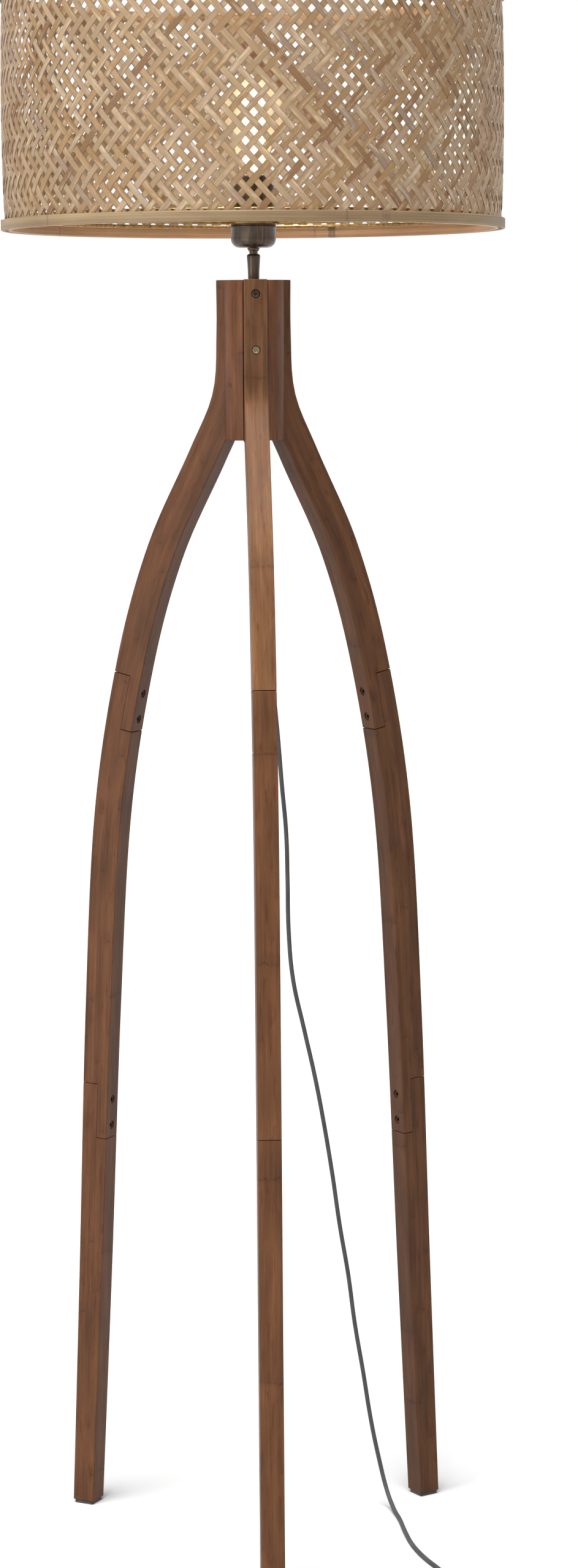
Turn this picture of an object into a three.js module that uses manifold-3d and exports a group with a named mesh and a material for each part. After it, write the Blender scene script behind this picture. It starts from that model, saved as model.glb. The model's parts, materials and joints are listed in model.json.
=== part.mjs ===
// Tripod floor lamp: three curved bamboo legs screwed into a turned hub, a metal lampholder on a short
// neck, a drum shade of woven bamboo strips on a wire carrier, and a flex with a foot switch and a plug.
// Millimetres, +Z up. The origin is on the floor under the lamp's axis, and one leg points along -Y.
import * as THREE from 'three';
import * as BufferGeometryUtils from 'three/addons/utils/BufferGeometryUtils.js';
import Module from 'manifold-3d';

const wasm = await Module();
wasm.setup();

// ---- Driving dimensions ----
const FIT_GAP = 0.3;             // left between any two pieces that touch
const SLIDE_GAP = 0.4;           // round a piece that moves in another

const STAND_HEIGHT = 1210;       // floor to the top of the hub
const FOOT_REACH = 206;          // lamp axis to a leg's outer face at the floor
const SHADE_DIAMETER = 470;
const SHADE_HEIGHT = 220;

const HUB_HEIGHT = 149;
const HUB_RADIUS = 28;
const HUB_CHAMFER = 1.2;
const HUB_LEG_RADIUS = 34.5;     // lamp axis to a leg's outer face inside the hub
const SLOT_FLOOR_RADIUS = 14.5;  // lamp axis to the floor of a leg's slot

const LEG_WIDTH = 22;
const LEG_DEPTH_TOP = 29.8;      // across the leg at the flare
const LEG_DEPTH_FOOT = 22.3;
const LEG_TAPER_HEIGHT = 850;    // the depth tapers below this height
const LEG_TOP_PROUD = 0.4;       // a leg's top above the hub's top
const UPPER_LAP_HEIGHT = 839;    // outer shoulder of the upper lap joint
const LOWER_LAP_HEIGHT = 431;
const LAP_LENGTH = 54;
const LAP_SHARE = 0.6;           // the lower piece's share of the leg's depth in a lap
const PAD_THICKNESS = 3;
const PAD_INSET = 1;

const HUB_SCREW_DROPS = [13, 65];  // below the hub's top
const HUB_SCREW_TIP_RADIUS = 7.5;
const LAP_SCREW_STATIONS = [0.3, 0.78];  // along the lap, from the outer shoulder
const SCREW_HEAD_RADIUS = 3.85;
const SCREW_HEAD_HEIGHT = 4;
const SCREW_SHANK_RADIUS = 2.2;
const SCREW_SINK = 1;            // head below the wood's surface
const SOCKET_RADIUS = 2;
const SOCKET_DEPTH = 2.2;

const TUBE_RADIUS = 3.9;         // threaded tube through the hub
const TUBE_BORE_RADIUS = 2.9;
const NECK_FOOT_RADIUS = 5.15;
const NECK_TOP_RADIUS = 6.3;
const NECK_HEIGHT = 24;
const NECK_ROUNDING = 2.2;       // of the neck's upper edge
const WAIST_HEIGHT = 2.6;        // bare tube between the neck and the collar
const COLLAR_HEIGHT = 3;
const COLLAR_RADIUS = 5.7;
const NUT_RADIUS = 7.5;
const NUT_HEIGHT = 5.5;
const NUT_FLANGE_RADIUS = 10.5;
const NUT_FLANGE_HEIGHT = 1.6;
const TUBE_BELOW_NUT = 3;
const TUBE_ABOVE_LOCKNUT = 4;

const CAP_RADIUS = 21;
const CAP_CORNER = 8;
const CAP_HEIGHT = 20;
const CAP_WALL = 1.2;
const LOCKNUT_RADIUS = 9;
const LOCKNUT_HEIGHT = 3;
const HOLDER_WALL = 1.5;
const HOLDER_RISE = 46;          // lampholder sleeve above the cap's rim
const HOLDER_FLANGE = 1;
const HOLDER_MOUTH_RADIUS = 14.6;
const INSERT_DEPTH = 30;         // the insert's top below the sleeve's mouth
const INSERT_HEIGHT = 12;
const WIRE_HOLE_RADIUS = 1.6;
const WIRE_HOLE_SPACING = 16;
const CONTACT_RADIUS = 3.6;
const CONTACT_HEIGHT = 1.4;
const SHELL_WALL = 0.7;          // of the screw shell
const SHADE_RING_RADIUS = 25;
const SHADE_RING_HEIGHT = 7;
const SHADE_RING_CHAMFER = 1.5;

const BULB_CAP_RADIUS = 13;
const BULB_CAP_LENGTH = 24;
const BULB_NECK_RADIUS = 12.4;
const BULB_RADIUS = 30;
const BULB_LENGTH = 118;
const BULB_WALL = 1;

const RIM_HEIGHT = 9.7;
const RIM_THICKNESS = 3;
const WEAVE_THICKNESS = 2.5;
const WEAVE_BULGE = 3;           // how far the weave stands out at mid height
const WIRE_RADIUS = 1.5;
const CARRIER_RING_MARGIN = 2.5; // carrier ring beyond the shade ring
const ARM_CRANK = 14;            // where an arm bends up, inside the wire hoop
const CARRIER_RING_THICKNESS = 1.5;
const ARM_TURN = -33.5;          // azimuth of the first carrier arm, in degrees

const FLEX_RADIUS = 2.1;
const BUSH_RADIUS = 5;
const BUSH_TAPER = 12;           // the part of the bush below the tube's end
const BUSH_GRIP = 2;             // the part round the tube
const COIL_CENTRE = [-46, -190.7];
const COIL_RADIUS = 23;          // at the middle of the turns
const COIL_BAND = 13;            // across the wound cord
const COIL_HEIGHT = 12;

const SWITCH_LENGTH = 62;
const SWITCH_WIDTH = 30;
const SWITCH_BASE_HEIGHT = 8;
const SWITCH_COVER_HEIGHT = 9;
const SWITCH_CORNER = 12;
const BUTTON_RADIUS = 10.5;
const BUTTON_TRAVEL = 3;
const BUTTON_PROUD = 3.6;
const SWITCH_CENTRE = [95, -208];
const INLET_RADIUS = 3.4;
const INLET_DEPTH = 6;
const PLUG_FACE = [-128, -218];
const PLUG_LENGTH = 38;
const PLUG_SHOULDER = 12;        // the full width runs this far back from the face
const PLUG_TAIL_WIDTH = 12;
const PLUG_CORNER = 3;
const PLUG_WIDTH = 35.3;
const PLUG_THICKNESS = 13.7;
const PIN_RADIUS = 2;
const PIN_LENGTH = 19;
const PIN_SPACING = 18.6;

// ---- Sizes worked out from them ----
const SHADE_SIDES = 48;         // flats round every hoop of the shade, so that they line up
const TURNED_SIDES = 32;
const hubBottom = STAND_HEIGHT - HUB_HEIGHT;
const neckTop = STAND_HEIGHT + FIT_GAP + NECK_HEIGHT;
const collarBottom = neckTop + WAIST_HEIGHT;
const capBottom = collarBottom + COLLAR_HEIGHT + FIT_GAP;
const capRim = capBottom + CAP_HEIGHT;
const holderFlangeTop = capRim + FIT_GAP + HOLDER_FLANGE;
const carrierBottom = holderFlangeTop + FIT_GAP;
const carrierTop = carrierBottom + CARRIER_RING_THICKNESS;
const holderRadius = CAP_RADIUS - CAP_WALL - FIT_GAP;
const holderTop = capRim + HOLDER_RISE;
const shadeRadius = SHADE_DIAMETER / 2;
const shadeBottom = carrierBottom + CARRIER_RING_THICKNESS / 2 - RIM_HEIGHT / 2 - WIRE_RADIUS;
const shadeTop = shadeBottom + SHADE_HEIGHT;
const weaveRimRadius = shadeRadius - RIM_THICKNESS - FIT_GAP;
const nutFlangeTop = hubBottom - FIT_GAP;
const nutFlangeBottom = nutFlangeTop - NUT_FLANGE_HEIGHT;
const nutBottom = nutFlangeBottom - NUT_HEIGHT;
const tubeBottom = nutBottom - TUBE_BELOW_NUT;
const locknutBottom = capBottom + CAP_WALL + FIT_GAP;
const locknutTop = locknutBottom + LOCKNUT_HEIGHT;
const bushBottom = tubeBottom - BUSH_TAPER;

const legAzimuths = { front: -90, right: 30, left: 150 };
const bamboo = { color: 0x74513a, roughness: 0.55, metalness: 0 };
const bronze = { color: 0x50402f, roughness: 0.4, metalness: 0.85 };
const blackSteel = { color: 0x2a2522, roughness: 0.45, metalness: 0.8 };
const brass = { color: 0xb08d4c, roughness: 0.3, metalness: 0.95 };
const cane = { color: 0xb0906a, roughness: 0.65, metalness: 0 };
const flexGrey = { color: 0x4b4d4b, roughness: 0.6, metalness: 0 };

const lamp = new THREE.Group();

// ---- Making and placing pieces ----
function piece(name, geometry, finish, parent = lamp) {
  const mesh = new THREE.Mesh(geometry, new THREE.MeshStandardMaterial(finish));
  mesh.name = name;
  parent.add(mesh);
  return mesh;
}

function solid(geometry) {
  const bare = geometry.clone();
  bare.deleteAttribute('normal');
  bare.deleteAttribute('uv');
  const merged = BufferGeometryUtils.mergeVertices(bare, 1e-4);
  const index = merged.index.array;
  const corners = [];
  for (let i = 0; i < index.length; i += 3) {
    const [a, b, c] = [index[i], index[i + 1], index[i + 2]];
    if (a !== b && b !== c && c !== a) corners.push(a, b, c);
  }
  return new wasm.Manifold(new wasm.Mesh({
    numProp: 3,
    vertProperties: new Float32Array(merged.attributes.position.array),
    triVerts: new Uint32Array(corners),
  }));
}

function toGeometry(manifold) {
  const mesh = manifold.getMesh();
  const geometry = new THREE.BufferGeometry();
  geometry.setAttribute('position', new THREE.BufferAttribute(mesh.vertProperties, 3));
  geometry.setIndex(new THREE.BufferAttribute(mesh.triVerts, 1));
  return geometry;
}

function cut(geometry, tools) {
  let body = solid(geometry);
  for (const tool of tools) body = body.subtract(solid(tool));
  return toGeometry(body);
}

function join(geometries) {
  let body = solid(geometries[0]);
  for (const other of geometries.slice(1)) body = body.add(solid(other));
  return toGeometry(body);
}

// A turned piece: the outline is a list of [radius, height] and closes on itself or runs axis to axis.
// It is taken anticlockwise, so that the faces point out whichever way it was listed.
function turned(outline, sides = TURNED_SIDES) {
  const points = outline.map(([radius, height]) => new THREE.Vector2(radius, height));
  if (THREE.ShapeUtils.isClockWise(points)) points.reverse();
  const onAxis = points[0].x === 0 && points[points.length - 1].x === 0;
  if (!onAxis) points.push(points[0].clone());
  const geometry = new THREE.LatheGeometry(points, sides);
  geometry.rotateX(Math.PI / 2);
  return geometry;
}

function sleeve(inner, outer, bottom, top, sides = TURNED_SIDES) {
  return turned([[inner, bottom], [outer, bottom], [outer, top], [inner, top]], sides);
}

// A round bar between two points.
function rod(from, to, radius, sides = 16) {
  const axis = new THREE.Vector3().subVectors(to, from);
  const geometry = new THREE.CylinderGeometry(radius, radius, axis.length(), sides);
  const turn = new THREE.Quaternion().setFromUnitVectors(
    new THREE.Vector3(0, 1, 0), axis.clone().normalize());
  geometry.applyQuaternion(turn);
  const middle = new THREE.Vector3().addVectors(from, to).multiplyScalar(0.5);
  return geometry.translate(middle.x, middle.y, middle.z);
}

// A six-sided nut with a round hole, lying across the lamp's axis.
function hexNut(hole, radius, bottom, top) {
  const bore = rod(new THREE.Vector3(0, 0, bottom - 1), new THREE.Vector3(0, 0, top + 1), hole, 24);
  return cut(turned([[0, bottom], [radius, bottom], [radius, top], [0, top]], 6), [bore]);
}

function arc(centreR, centreZ, radius, fromDegrees, toDegrees, steps) {
  const points = [];
  for (let i = 0; i <= steps; i++) {
    const angle = THREE.MathUtils.degToRad(fromDegrees + (toDegrees - fromDegrees) * i / steps);
    points.push([centreR + radius * Math.cos(angle), centreZ + radius * Math.sin(angle)]);
  }
  return points;
}

// ---- Legs ----
// A leg is drawn in its own upright plane: x is the distance from the lamp's axis, y the height.
// The outer line is straight in the hub, flares out below it and runs down almost straight to the foot.
// Each pair is the share of the way out to the foot and the share of the stand's height.
const OUTER_LINE = [
  [0, 1], [0, 0.959], [0.026, 0.913], [0.175, 0.868], [0.443, 0.793],
  [0.645, 0.7025], [0.803, 0.5785], [0.88, 0.413], [0.938, 0.2065], [1, 0],
];
const LEG_STATIONS = 64;
const outerLine = new THREE.SplineCurve(OUTER_LINE.map(([out, up]) => new THREE.Vector2(
  HUB_LEG_RADIUS + out * (FOOT_REACH - HUB_LEG_RADIUS), up * (STAND_HEIGHT + LEG_TOP_PROUD))));
outerLine.arcLengthDivisions = 2000;
const legLength = outerLine.getLength();
const legFoot = PAD_THICKNESS + FIT_GAP;

function legDepth(height) {
  const rise = Math.min(1, Math.max(0, height / LEG_TAPER_HEIGHT));
  return LEG_DEPTH_FOOT + (LEG_DEPTH_TOP - LEG_DEPTH_FOOT) * Math.sin(rise * Math.PI / 2);
}

function inwardNormal(along) {
  const tangent = outerLine.getTangentAt(along);
  return new THREE.Vector2(tangent.y, -tangent.x);
}

// A point on the leg: along it from 0 at the top to 1 at the foot, and across from 0 outside to 1 inside.
function legPoint(along, across, offset = 0) {
  const outer = outerLine.getPointAt(along);
  const inward = inwardNormal(along);
  const point = outer.clone().addScaledVector(inward, legDepth(outer.y) * across + offset);
  point.x = Math.max(point.x, SLOT_FLOOR_RADIUS + FIT_GAP);
  point.y = Math.min(Math.max(point.y, legFoot), STAND_HEIGHT + LEG_TOP_PROUD);
  return point;
}

function stationAtHeight(height) {
  let low = 0;
  let high = 1;
  for (let i = 0; i < 40; i++) {
    const middle = (low + high) / 2;
    if (outerLine.getPointAt(middle).y > height) low = middle;
    else high = middle;
  }
  return low;
}

function lapJoint(height) {
  const outer = stationAtHeight(height);
  return { outer, inner: outer + LAP_LENGTH / legLength };
}

const laps = { upper: lapJoint(UPPER_LAP_HEIGHT), lower: lapJoint(LOWER_LAP_HEIGHT) };

function legRun(from, to, across, offset = 0) {
  const steps = Math.max(2, Math.round(Math.abs(to - from) * LEG_STATIONS));
  const points = [];
  for (let i = 0; i <= steps; i++) points.push(legPoint(from + (to - from) * i / steps, across, offset));
  return points;
}

function withoutRepeats(points) {
  return points.filter((point, i) => i === 0 || point.distanceTo(points[i - 1]) > 0.02);
}

function legSegment(above, below) {
  const gap = FIT_GAP / legLength;
  const outerStart = above ? above.outer + gap : 0;
  const innerStart = above ? above.inner + gap : 0;
  const outerEnd = below ? below.outer : 1;
  const innerEnd = below ? below.inner : 1;
  const outline = [...legRun(outerStart, outerEnd, 0)];
  if (below) outline.push(...legRun(outerEnd, innerEnd, LAP_SHARE, FIT_GAP / 2));
  outline.push(...legRun(innerEnd, innerStart, 1));
  if (above) outline.push(...legRun(innerStart, outerStart, LAP_SHARE, -FIT_GAP / 2));
  const shape = new THREE.Shape(withoutRepeats(outline));
  const geometry = new THREE.ExtrudeGeometry(shape, { depth: LEG_WIDTH, bevelEnabled: false });
  geometry.translate(0, 0, -LEG_WIDTH / 2);
  return geometry.rotateX(Math.PI / 2);
}

// ---- Screws ----
// A socket-head screw from its head's top towards its tip, and the stepped hole that it needs.
function socketScrew(head, direction, length) {
  const under = head.clone().addScaledVector(direction, SCREW_HEAD_HEIGHT);
  const overlap = under.clone().addScaledVector(direction, -0.5);
  const tip = head.clone().addScaledVector(direction, length);
  const body = join([rod(head, under, SCREW_HEAD_RADIUS, 16), rod(overlap, tip, SCREW_SHANK_RADIUS, 8)]);
  const above = head.clone().addScaledVector(direction, -1);
  const socketFloor = head.clone().addScaledVector(direction, SOCKET_DEPTH);
  return cut(body, [rod(above, socketFloor, SOCKET_RADIUS, 6)]);
}

function screwHole(head, direction, length) {
  const outside = head.clone().addScaledVector(direction, -20);
  const under = head.clone().addScaledVector(direction, SCREW_HEAD_HEIGHT + FIT_GAP);
  const overlap = under.clone().addScaledVector(direction, -0.5);
  const end = head.clone().addScaledVector(direction, length + FIT_GAP);
  return [
    rod(outside, under, SCREW_HEAD_RADIUS + FIT_GAP, 16),
    rod(overlap, end, SCREW_SHANK_RADIUS + FIT_GAP, 8),
  ];
}

const hubScrews = HUB_SCREW_DROPS.map((drop) => {
  const head = new THREE.Vector3(HUB_LEG_RADIUS - SCREW_SINK, 0, STAND_HEIGHT - drop);
  return { head, direction: new THREE.Vector3(-1, 0, 0), length: head.x - HUB_SCREW_TIP_RADIUS };
});

function lapScrews(lap) {
  return LAP_SCREW_STATIONS.map((share) => {
    const along = lap.outer + (lap.inner - lap.outer) * share;
    const inner = legPoint(along, 1);
    const inward = inwardNormal(along);
    const direction = new THREE.Vector3(-inward.x, 0, -inward.y);
    const head = new THREE.Vector3(inner.x, 0, inner.y).addScaledVector(direction, SCREW_SINK);
    return { head, direction, length: legDepth(inner.y) * 0.8 };
  });
}

const screwsAtLap = { upper: lapScrews(laps.upper), lower: lapScrews(laps.lower) };
const holes = (screws) => screws.flatMap((s) => screwHole(s.head, s.direction, s.length));

// Every leg is the same, made in the plane of +X and turned to its azimuth.
const legSegments = {
  upper: cut(legSegment(null, laps.upper), [...holes(hubScrews), ...holes(screwsAtLap.upper)]),
  middle: cut(legSegment(laps.upper, laps.lower), [...holes(screwsAtLap.upper), ...holes(screwsAtLap.lower)]),
  lower: cut(legSegment(laps.lower, null), holes(screwsAtLap.lower)),
};

function footPad() {
  const outer = legPoint(1, 0).x - PAD_INSET;
  const inner = legPoint(1, 1).x + PAD_INSET;
  const half = LEG_WIDTH / 2 - PAD_INSET;
  const corner = 2;
  const shape = new THREE.Shape();
  shape.moveTo(inner + corner, -half);
  shape.lineTo(outer - corner, -half);
  shape.absarc(outer - corner, -half + corner, corner, -Math.PI / 2, 0);
  shape.lineTo(outer, half - corner);
  shape.absarc(outer - corner, half - corner, corner, 0, Math.PI / 2);
  shape.lineTo(inner + corner, half);
  shape.absarc(inner + corner, half - corner, corner, Math.PI / 2, Math.PI);
  shape.lineTo(inner, -half + corner);
  shape.absarc(inner + corner, -half + corner, corner, Math.PI, Math.PI * 1.5);
  return new THREE.ExtrudeGeometry(shape, { depth: PAD_THICKNESS, bevelEnabled: false, curveSegments: 4 });
}

for (const [side, azimuth] of Object.entries(legAzimuths)) {
  const leg = new THREE.Group();
  leg.rotation.z = THREE.MathUtils.degToRad(azimuth);
  lamp.add(leg);
  for (const [part, geometry] of Object.entries(legSegments)) {
    piece(`leg_${side}_${part}`, geometry, bamboo, leg);
  }
  hubScrews.forEach((s, i) => {
    piece(`hub_screw_${side}_${i + 1}`, socketScrew(s.head, s.direction, s.length), blackSteel, leg);
  });
  for (const [part, screws] of Object.entries(screwsAtLap)) {
    screws.forEach((s, i) => {
      const name = `lap_screw_${side}_${part}_${i + 1}`;
      piece(name, socketScrew(s.head, s.direction, s.length), blackSteel, leg);
    });
  }
  piece(`foot_pad_${side}`, footPad(), { color: 0x33302c, roughness: 0.9, metalness: 0 }, leg);
}

// ---- Hub ----
function hubCore() {
  const bore = TUBE_RADIUS + FIT_GAP;
  const body = turned([
    [bore, hubBottom], [HUB_RADIUS - HUB_CHAMFER, hubBottom], [HUB_RADIUS, hubBottom + HUB_CHAMFER],
    [HUB_RADIUS, STAND_HEIGHT - HUB_CHAMFER], [HUB_RADIUS - HUB_CHAMFER, STAND_HEIGHT], [bore, STAND_HEIGHT],
  ], 48);
  const tools = [];
  for (const azimuth of Object.values(legAzimuths)) {
    const depth = HUB_RADIUS + 10 - SLOT_FLOOR_RADIUS;
    const slot = new THREE.BoxGeometry(depth, LEG_WIDTH + 2 * FIT_GAP, HUB_HEIGHT + 20);
    slot.translate(SLOT_FLOOR_RADIUS + depth / 2, 0, hubBottom + HUB_HEIGHT / 2);
    const turn = THREE.MathUtils.degToRad(azimuth);
    tools.push(slot.rotateZ(turn));
    for (const hole of holes(hubScrews)) tools.push(hole.rotateZ(turn));
  }
  return cut(body, tools);
}

piece('hub_core', hubCore(), bamboo);

// ---- Neck, threaded tube and its fixings ----
const tubeTop = locknutTop + TUBE_ABOVE_LOCKNUT - CAP_WALL - FIT_GAP;
piece('threaded_tube', sleeve(TUBE_BORE_RADIUS, TUBE_RADIUS, tubeBottom, tubeTop, 24), brass);

const tubeHole = TUBE_RADIUS + FIT_GAP;
piece('neck_post', turned([
  [tubeHole, STAND_HEIGHT + FIT_GAP], [NECK_FOOT_RADIUS, STAND_HEIGHT + FIT_GAP],
  ...arc(NECK_TOP_RADIUS - NECK_ROUNDING, neckTop - NECK_ROUNDING, NECK_ROUNDING, 0, 80, 4),
  [tubeHole, neckTop],
]), bronze);

piece('neck_collar', turned([
  [tubeHole, collarBottom], [COLLAR_RADIUS, collarBottom + COLLAR_HEIGHT],
  [tubeHole, collarBottom + COLLAR_HEIGHT],
]), bronze);

piece('hub_nut', join([
  sleeve(tubeHole, NUT_FLANGE_RADIUS, nutFlangeBottom, nutFlangeTop),
  hexNut(tubeHole, NUT_RADIUS, nutBottom, nutFlangeTop - NUT_FLANGE_HEIGHT / 3),
]), brass);

// The bush screws onto the end of the tube and grips the flex where it comes out.
const flexHole = FLEX_RADIUS + FIT_GAP;
piece('cord_bush', turned([
  [flexHole, bushBottom], [(flexHole + BUSH_RADIUS) / 2, bushBottom],
  [BUSH_RADIUS, tubeBottom - BUSH_GRIP], [BUSH_RADIUS, tubeBottom + BUSH_GRIP],
  [tubeHole, tubeBottom + BUSH_GRIP], [tubeHole, tubeBottom - FIT_GAP], [flexHole, tubeBottom - FIT_GAP],
], 24), { color: 0x2f2d2b, roughness: 0.6, metalness: 0 });

// ---- Lampholder ----
const capInner = CAP_RADIUS - CAP_WALL;
piece('holder_cap', turned([
  [tubeHole, capBottom],
  ...arc(CAP_RADIUS - CAP_CORNER, capBottom + CAP_CORNER, CAP_CORNER, -90, 0, 5),
  [CAP_RADIUS, capRim], [capInner, capRim],
  ...arc(CAP_RADIUS - CAP_CORNER, capBottom + CAP_CORNER, CAP_CORNER - CAP_WALL, 0, -90, 5),
  [tubeHole, capBottom + CAP_WALL],
]), bronze);

piece('holder_locknut', hexNut(tubeHole, LOCKNUT_RADIUS, locknutBottom, locknutTop), brass);

const skirtBottom = capBottom + CAP_CORNER + 2;
piece('holder_shell', turned([
  [holderRadius - HOLDER_WALL, skirtBottom], [holderRadius, skirtBottom],
  [holderRadius, capRim + FIT_GAP], [CAP_RADIUS, capRim + FIT_GAP], [CAP_RADIUS, holderFlangeTop],
  [holderRadius, holderFlangeTop], [holderRadius, holderTop - 1], [holderRadius - 1, holderTop],
  [HOLDER_MOUTH_RADIUS, holderTop], [HOLDER_MOUTH_RADIUS, holderTop - HOLDER_WALL],
  [holderRadius - HOLDER_WALL, holderTop - HOLDER_WALL],
]), bronze);

const insertTop = holderTop - INSERT_DEPTH;
const insertBottom = insertTop - INSERT_HEIGHT;
const insertRadius = holderRadius - HOLDER_WALL - FIT_GAP;
const wireHoles = [-WIRE_HOLE_SPACING / 2, WIRE_HOLE_SPACING / 2].map((x) => rod(
  new THREE.Vector3(x, 0, insertBottom - 1), new THREE.Vector3(x, 0, insertTop + 1), WIRE_HOLE_RADIUS, 12));
piece('holder_insert', cut(turned([
  [0, insertBottom], [insertRadius, insertBottom], [insertRadius, insertTop], [0, insertTop],
]), wireHoles), { color: 0xe6e2d8, roughness: 0.35, metalness: 0 });

const contactTop = insertTop + FIT_GAP + CONTACT_HEIGHT;
piece('centre_contact', turned([
  [0, insertTop + FIT_GAP], [CONTACT_RADIUS, insertTop + FIT_GAP],
  [CONTACT_RADIUS, contactTop - CONTACT_HEIGHT / 3], [CONTACT_RADIUS * 0.8, contactTop], [0, contactTop],
], 20), brass);

const threadRadius = BULB_CAP_RADIUS + SLIDE_GAP;
piece('screw_shell', sleeve(threadRadius, threadRadius + SHELL_WALL, insertTop + FIT_GAP,
  holderTop - HOLDER_WALL - FIT_GAP), brass);

const ringBottom = carrierTop + FIT_GAP;
const ringBore = holderRadius + FIT_GAP;
piece('shade_ring', turned([
  [ringBore, ringBottom], [SHADE_RING_RADIUS, ringBottom],
  [SHADE_RING_RADIUS, ringBottom + SHADE_RING_HEIGHT - SHADE_RING_CHAMFER],
  [SHADE_RING_RADIUS - SHADE_RING_CHAMFER, ringBottom + SHADE_RING_HEIGHT],
  [ringBore, ringBottom + SHADE_RING_HEIGHT],
]), bronze);

// ---- Bulb ----
const bulbBottom = contactTop + FIT_GAP;
const bulbCapTop = bulbBottom + BULB_CAP_LENGTH;
const bulbTop = bulbBottom + BULB_LENGTH;
const globeCentre = bulbTop - BULB_RADIUS;
piece('bulb_cap', turned([
  [0, bulbBottom], [3, bulbBottom], [4.5, bulbBottom + 1.5], [10.5, bulbBottom + 4.5],
  [BULB_CAP_RADIUS, bulbBottom + 6], [BULB_CAP_RADIUS, bulbCapTop], [0, bulbCapTop],
]), { color: 0xb9b6ae, roughness: 0.3, metalness: 0.9 });

const glassBottom = bulbCapTop + FIT_GAP;
function bulbWall(inset) {
  const outline = arc(0, globeCentre, BULB_RADIUS - inset, 90, -32, 8);
  const [lastRadius, lastHeight] = outline[outline.length - 1];
  const neck = BULB_NECK_RADIUS - inset;
  outline.push([(lastRadius + neck) / 2 - 0.8, (lastHeight + glassBottom) / 2 + 2]);
  outline.push([neck, glassBottom + 6], [neck, glassBottom]);
  outline[0][0] = 0;
  return outline;
}
piece('bulb_glass', turned([...bulbWall(0), ...bulbWall(BULB_WALL).reverse()], 24),
  { color: 0xfff6e2, roughness: 0.25, metalness: 0 });

// ---- Shade ----
function hoop(outer, bottom) {
  return sleeve(outer - RIM_THICKNESS, outer, bottom, bottom + RIM_HEIGHT, SHADE_SIDES);
}

const innerHoopRadius = weaveRimRadius - WEAVE_THICKNESS - FIT_GAP;
const topRimBottom = shadeTop - RIM_HEIGHT;
piece('bottom_rim_outer', hoop(shadeRadius, shadeBottom), cane);
piece('bottom_rim_inner', hoop(innerHoopRadius, shadeBottom), cane);
piece('top_rim_outer', hoop(shadeRadius, topRimBottom), cane);
piece('top_rim_inner', hoop(innerHoopRadius, topRimBottom), cane);

// The weave is pinched between the hoops and stands out a little between them.
function weaveWall(inset) {
  const rise = SHADE_HEIGHT - 2 * RIM_HEIGHT;
  const points = [[weaveRimRadius - inset, shadeBottom]];
  const steps = 4;
  for (let i = 0; i <= steps; i++) {
    const bulge = WEAVE_BULGE * Math.sin(Math.PI * i / steps) ** 0.5;
    points.push([weaveRimRadius + bulge - inset, shadeBottom + RIM_HEIGHT + rise * i / steps]);
  }
  points.push([weaveRimRadius - inset, shadeTop]);
  return points;
}
piece('shade_weave', turned([...weaveWall(0), ...weaveWall(WEAVE_THICKNESS).reverse()], SHADE_SIDES), cane);

// The carrier is one piece of brazed wire: a flat centre ring, three arms and a hoop inside the rim.
function shadeCarrier() {
  const hoopRadius = innerHoopRadius - RIM_THICKNESS - FIT_GAP - WIRE_RADIUS;
  const wireHeight = carrierBottom + CARRIER_RING_THICKNESS / 2;
  const hoopWire = turned(arc(hoopRadius, wireHeight + RIM_HEIGHT / 2, WIRE_RADIUS, 0, 300, 5), SHADE_SIDES);
  const ringOuter = SHADE_RING_RADIUS + CARRIER_RING_MARGIN;
  const parts = [hoopWire, sleeve(ringBore, ringOuter, carrierBottom, carrierTop)];
  for (let i = 0; i < 3; i++) {
    const turn = THREE.MathUtils.degToRad(ARM_TURN + 120 * i);
    const from = new THREE.Vector3(ringOuter - CARRIER_RING_MARGIN / 2, 0, wireHeight);
    const bend = new THREE.Vector3(hoopRadius - ARM_CRANK, 0, wireHeight);
    const end = new THREE.Vector3(hoopRadius, 0, wireHeight + RIM_HEIGHT / 2);
    parts.push(rod(from, bend, WIRE_RADIUS - 0.05, 10).rotateZ(turn));
    const start = bend.clone().add(new THREE.Vector3(-0.8, 0, -0.1));
    parts.push(rod(start, end, WIRE_RADIUS - 0.05, 10).rotateZ(turn));
  }
  return join(parts);
}
piece('shade_carrier', shadeCarrier(), brass);

// ---- Flex, coil, foot switch and plug ----
// The flex hangs from the bush, leans out to the right of the front leg and lies on the floor. It runs
// into the foot switch, and the rest of it is wound up between the switch and the plug.
const FLEX_LEAD = [
  [0, 0, 1038.3], [0, 0, 1000], [3, 2, 950], [9, 6, 890], [15.5, 11, 835], [21, 16, 780], [25, 19, 730],
  [29, 22, 684], [30.3, 25, 636], [31.3, 28.5, 587], [35.5, 31.5, 539], [46, 34, 490], [57, 37, 440],
  [66, 39.5, 391], [74, 42.5, 341], [81, 45.5, 291], [89.5, 48.5, 240], [96, 51.5, 190],
  [104.5, 54.5, 139], [112.5, 57, 88], [121, 59, 46], [128, 54, 17], [133, 36, 3.2], [136.5, 10, 2.1],
  [138.5, -26, 2.1], [142, -64, 2.1], [149.5, -100, 2.1], [160, -133, 2.1], [168, -160, 2.1],
  [168.5, -180, 2.1], [160, -197, 2.8], [146, -206, 5.4], [133, -208, 7.8], [121.6, -208, 8],
];
const FLEX_LINK = [
  [68.4, -208, 8], [58, -208.4, 7.6], [46, -211.5, 4.6], [34, -215.5, 2.6], [20, -217.8, 2.1],
  [4, -218.4, 2.1], [-14, -218.3, 2.1], [-31, -218, 2.1],
];
const FLEX_TAIL = [[-61, -218, 9.4], [-70, -218, 8.6], [-80, -218, 7.2], [-89.7, -218, 6.85]];

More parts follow.
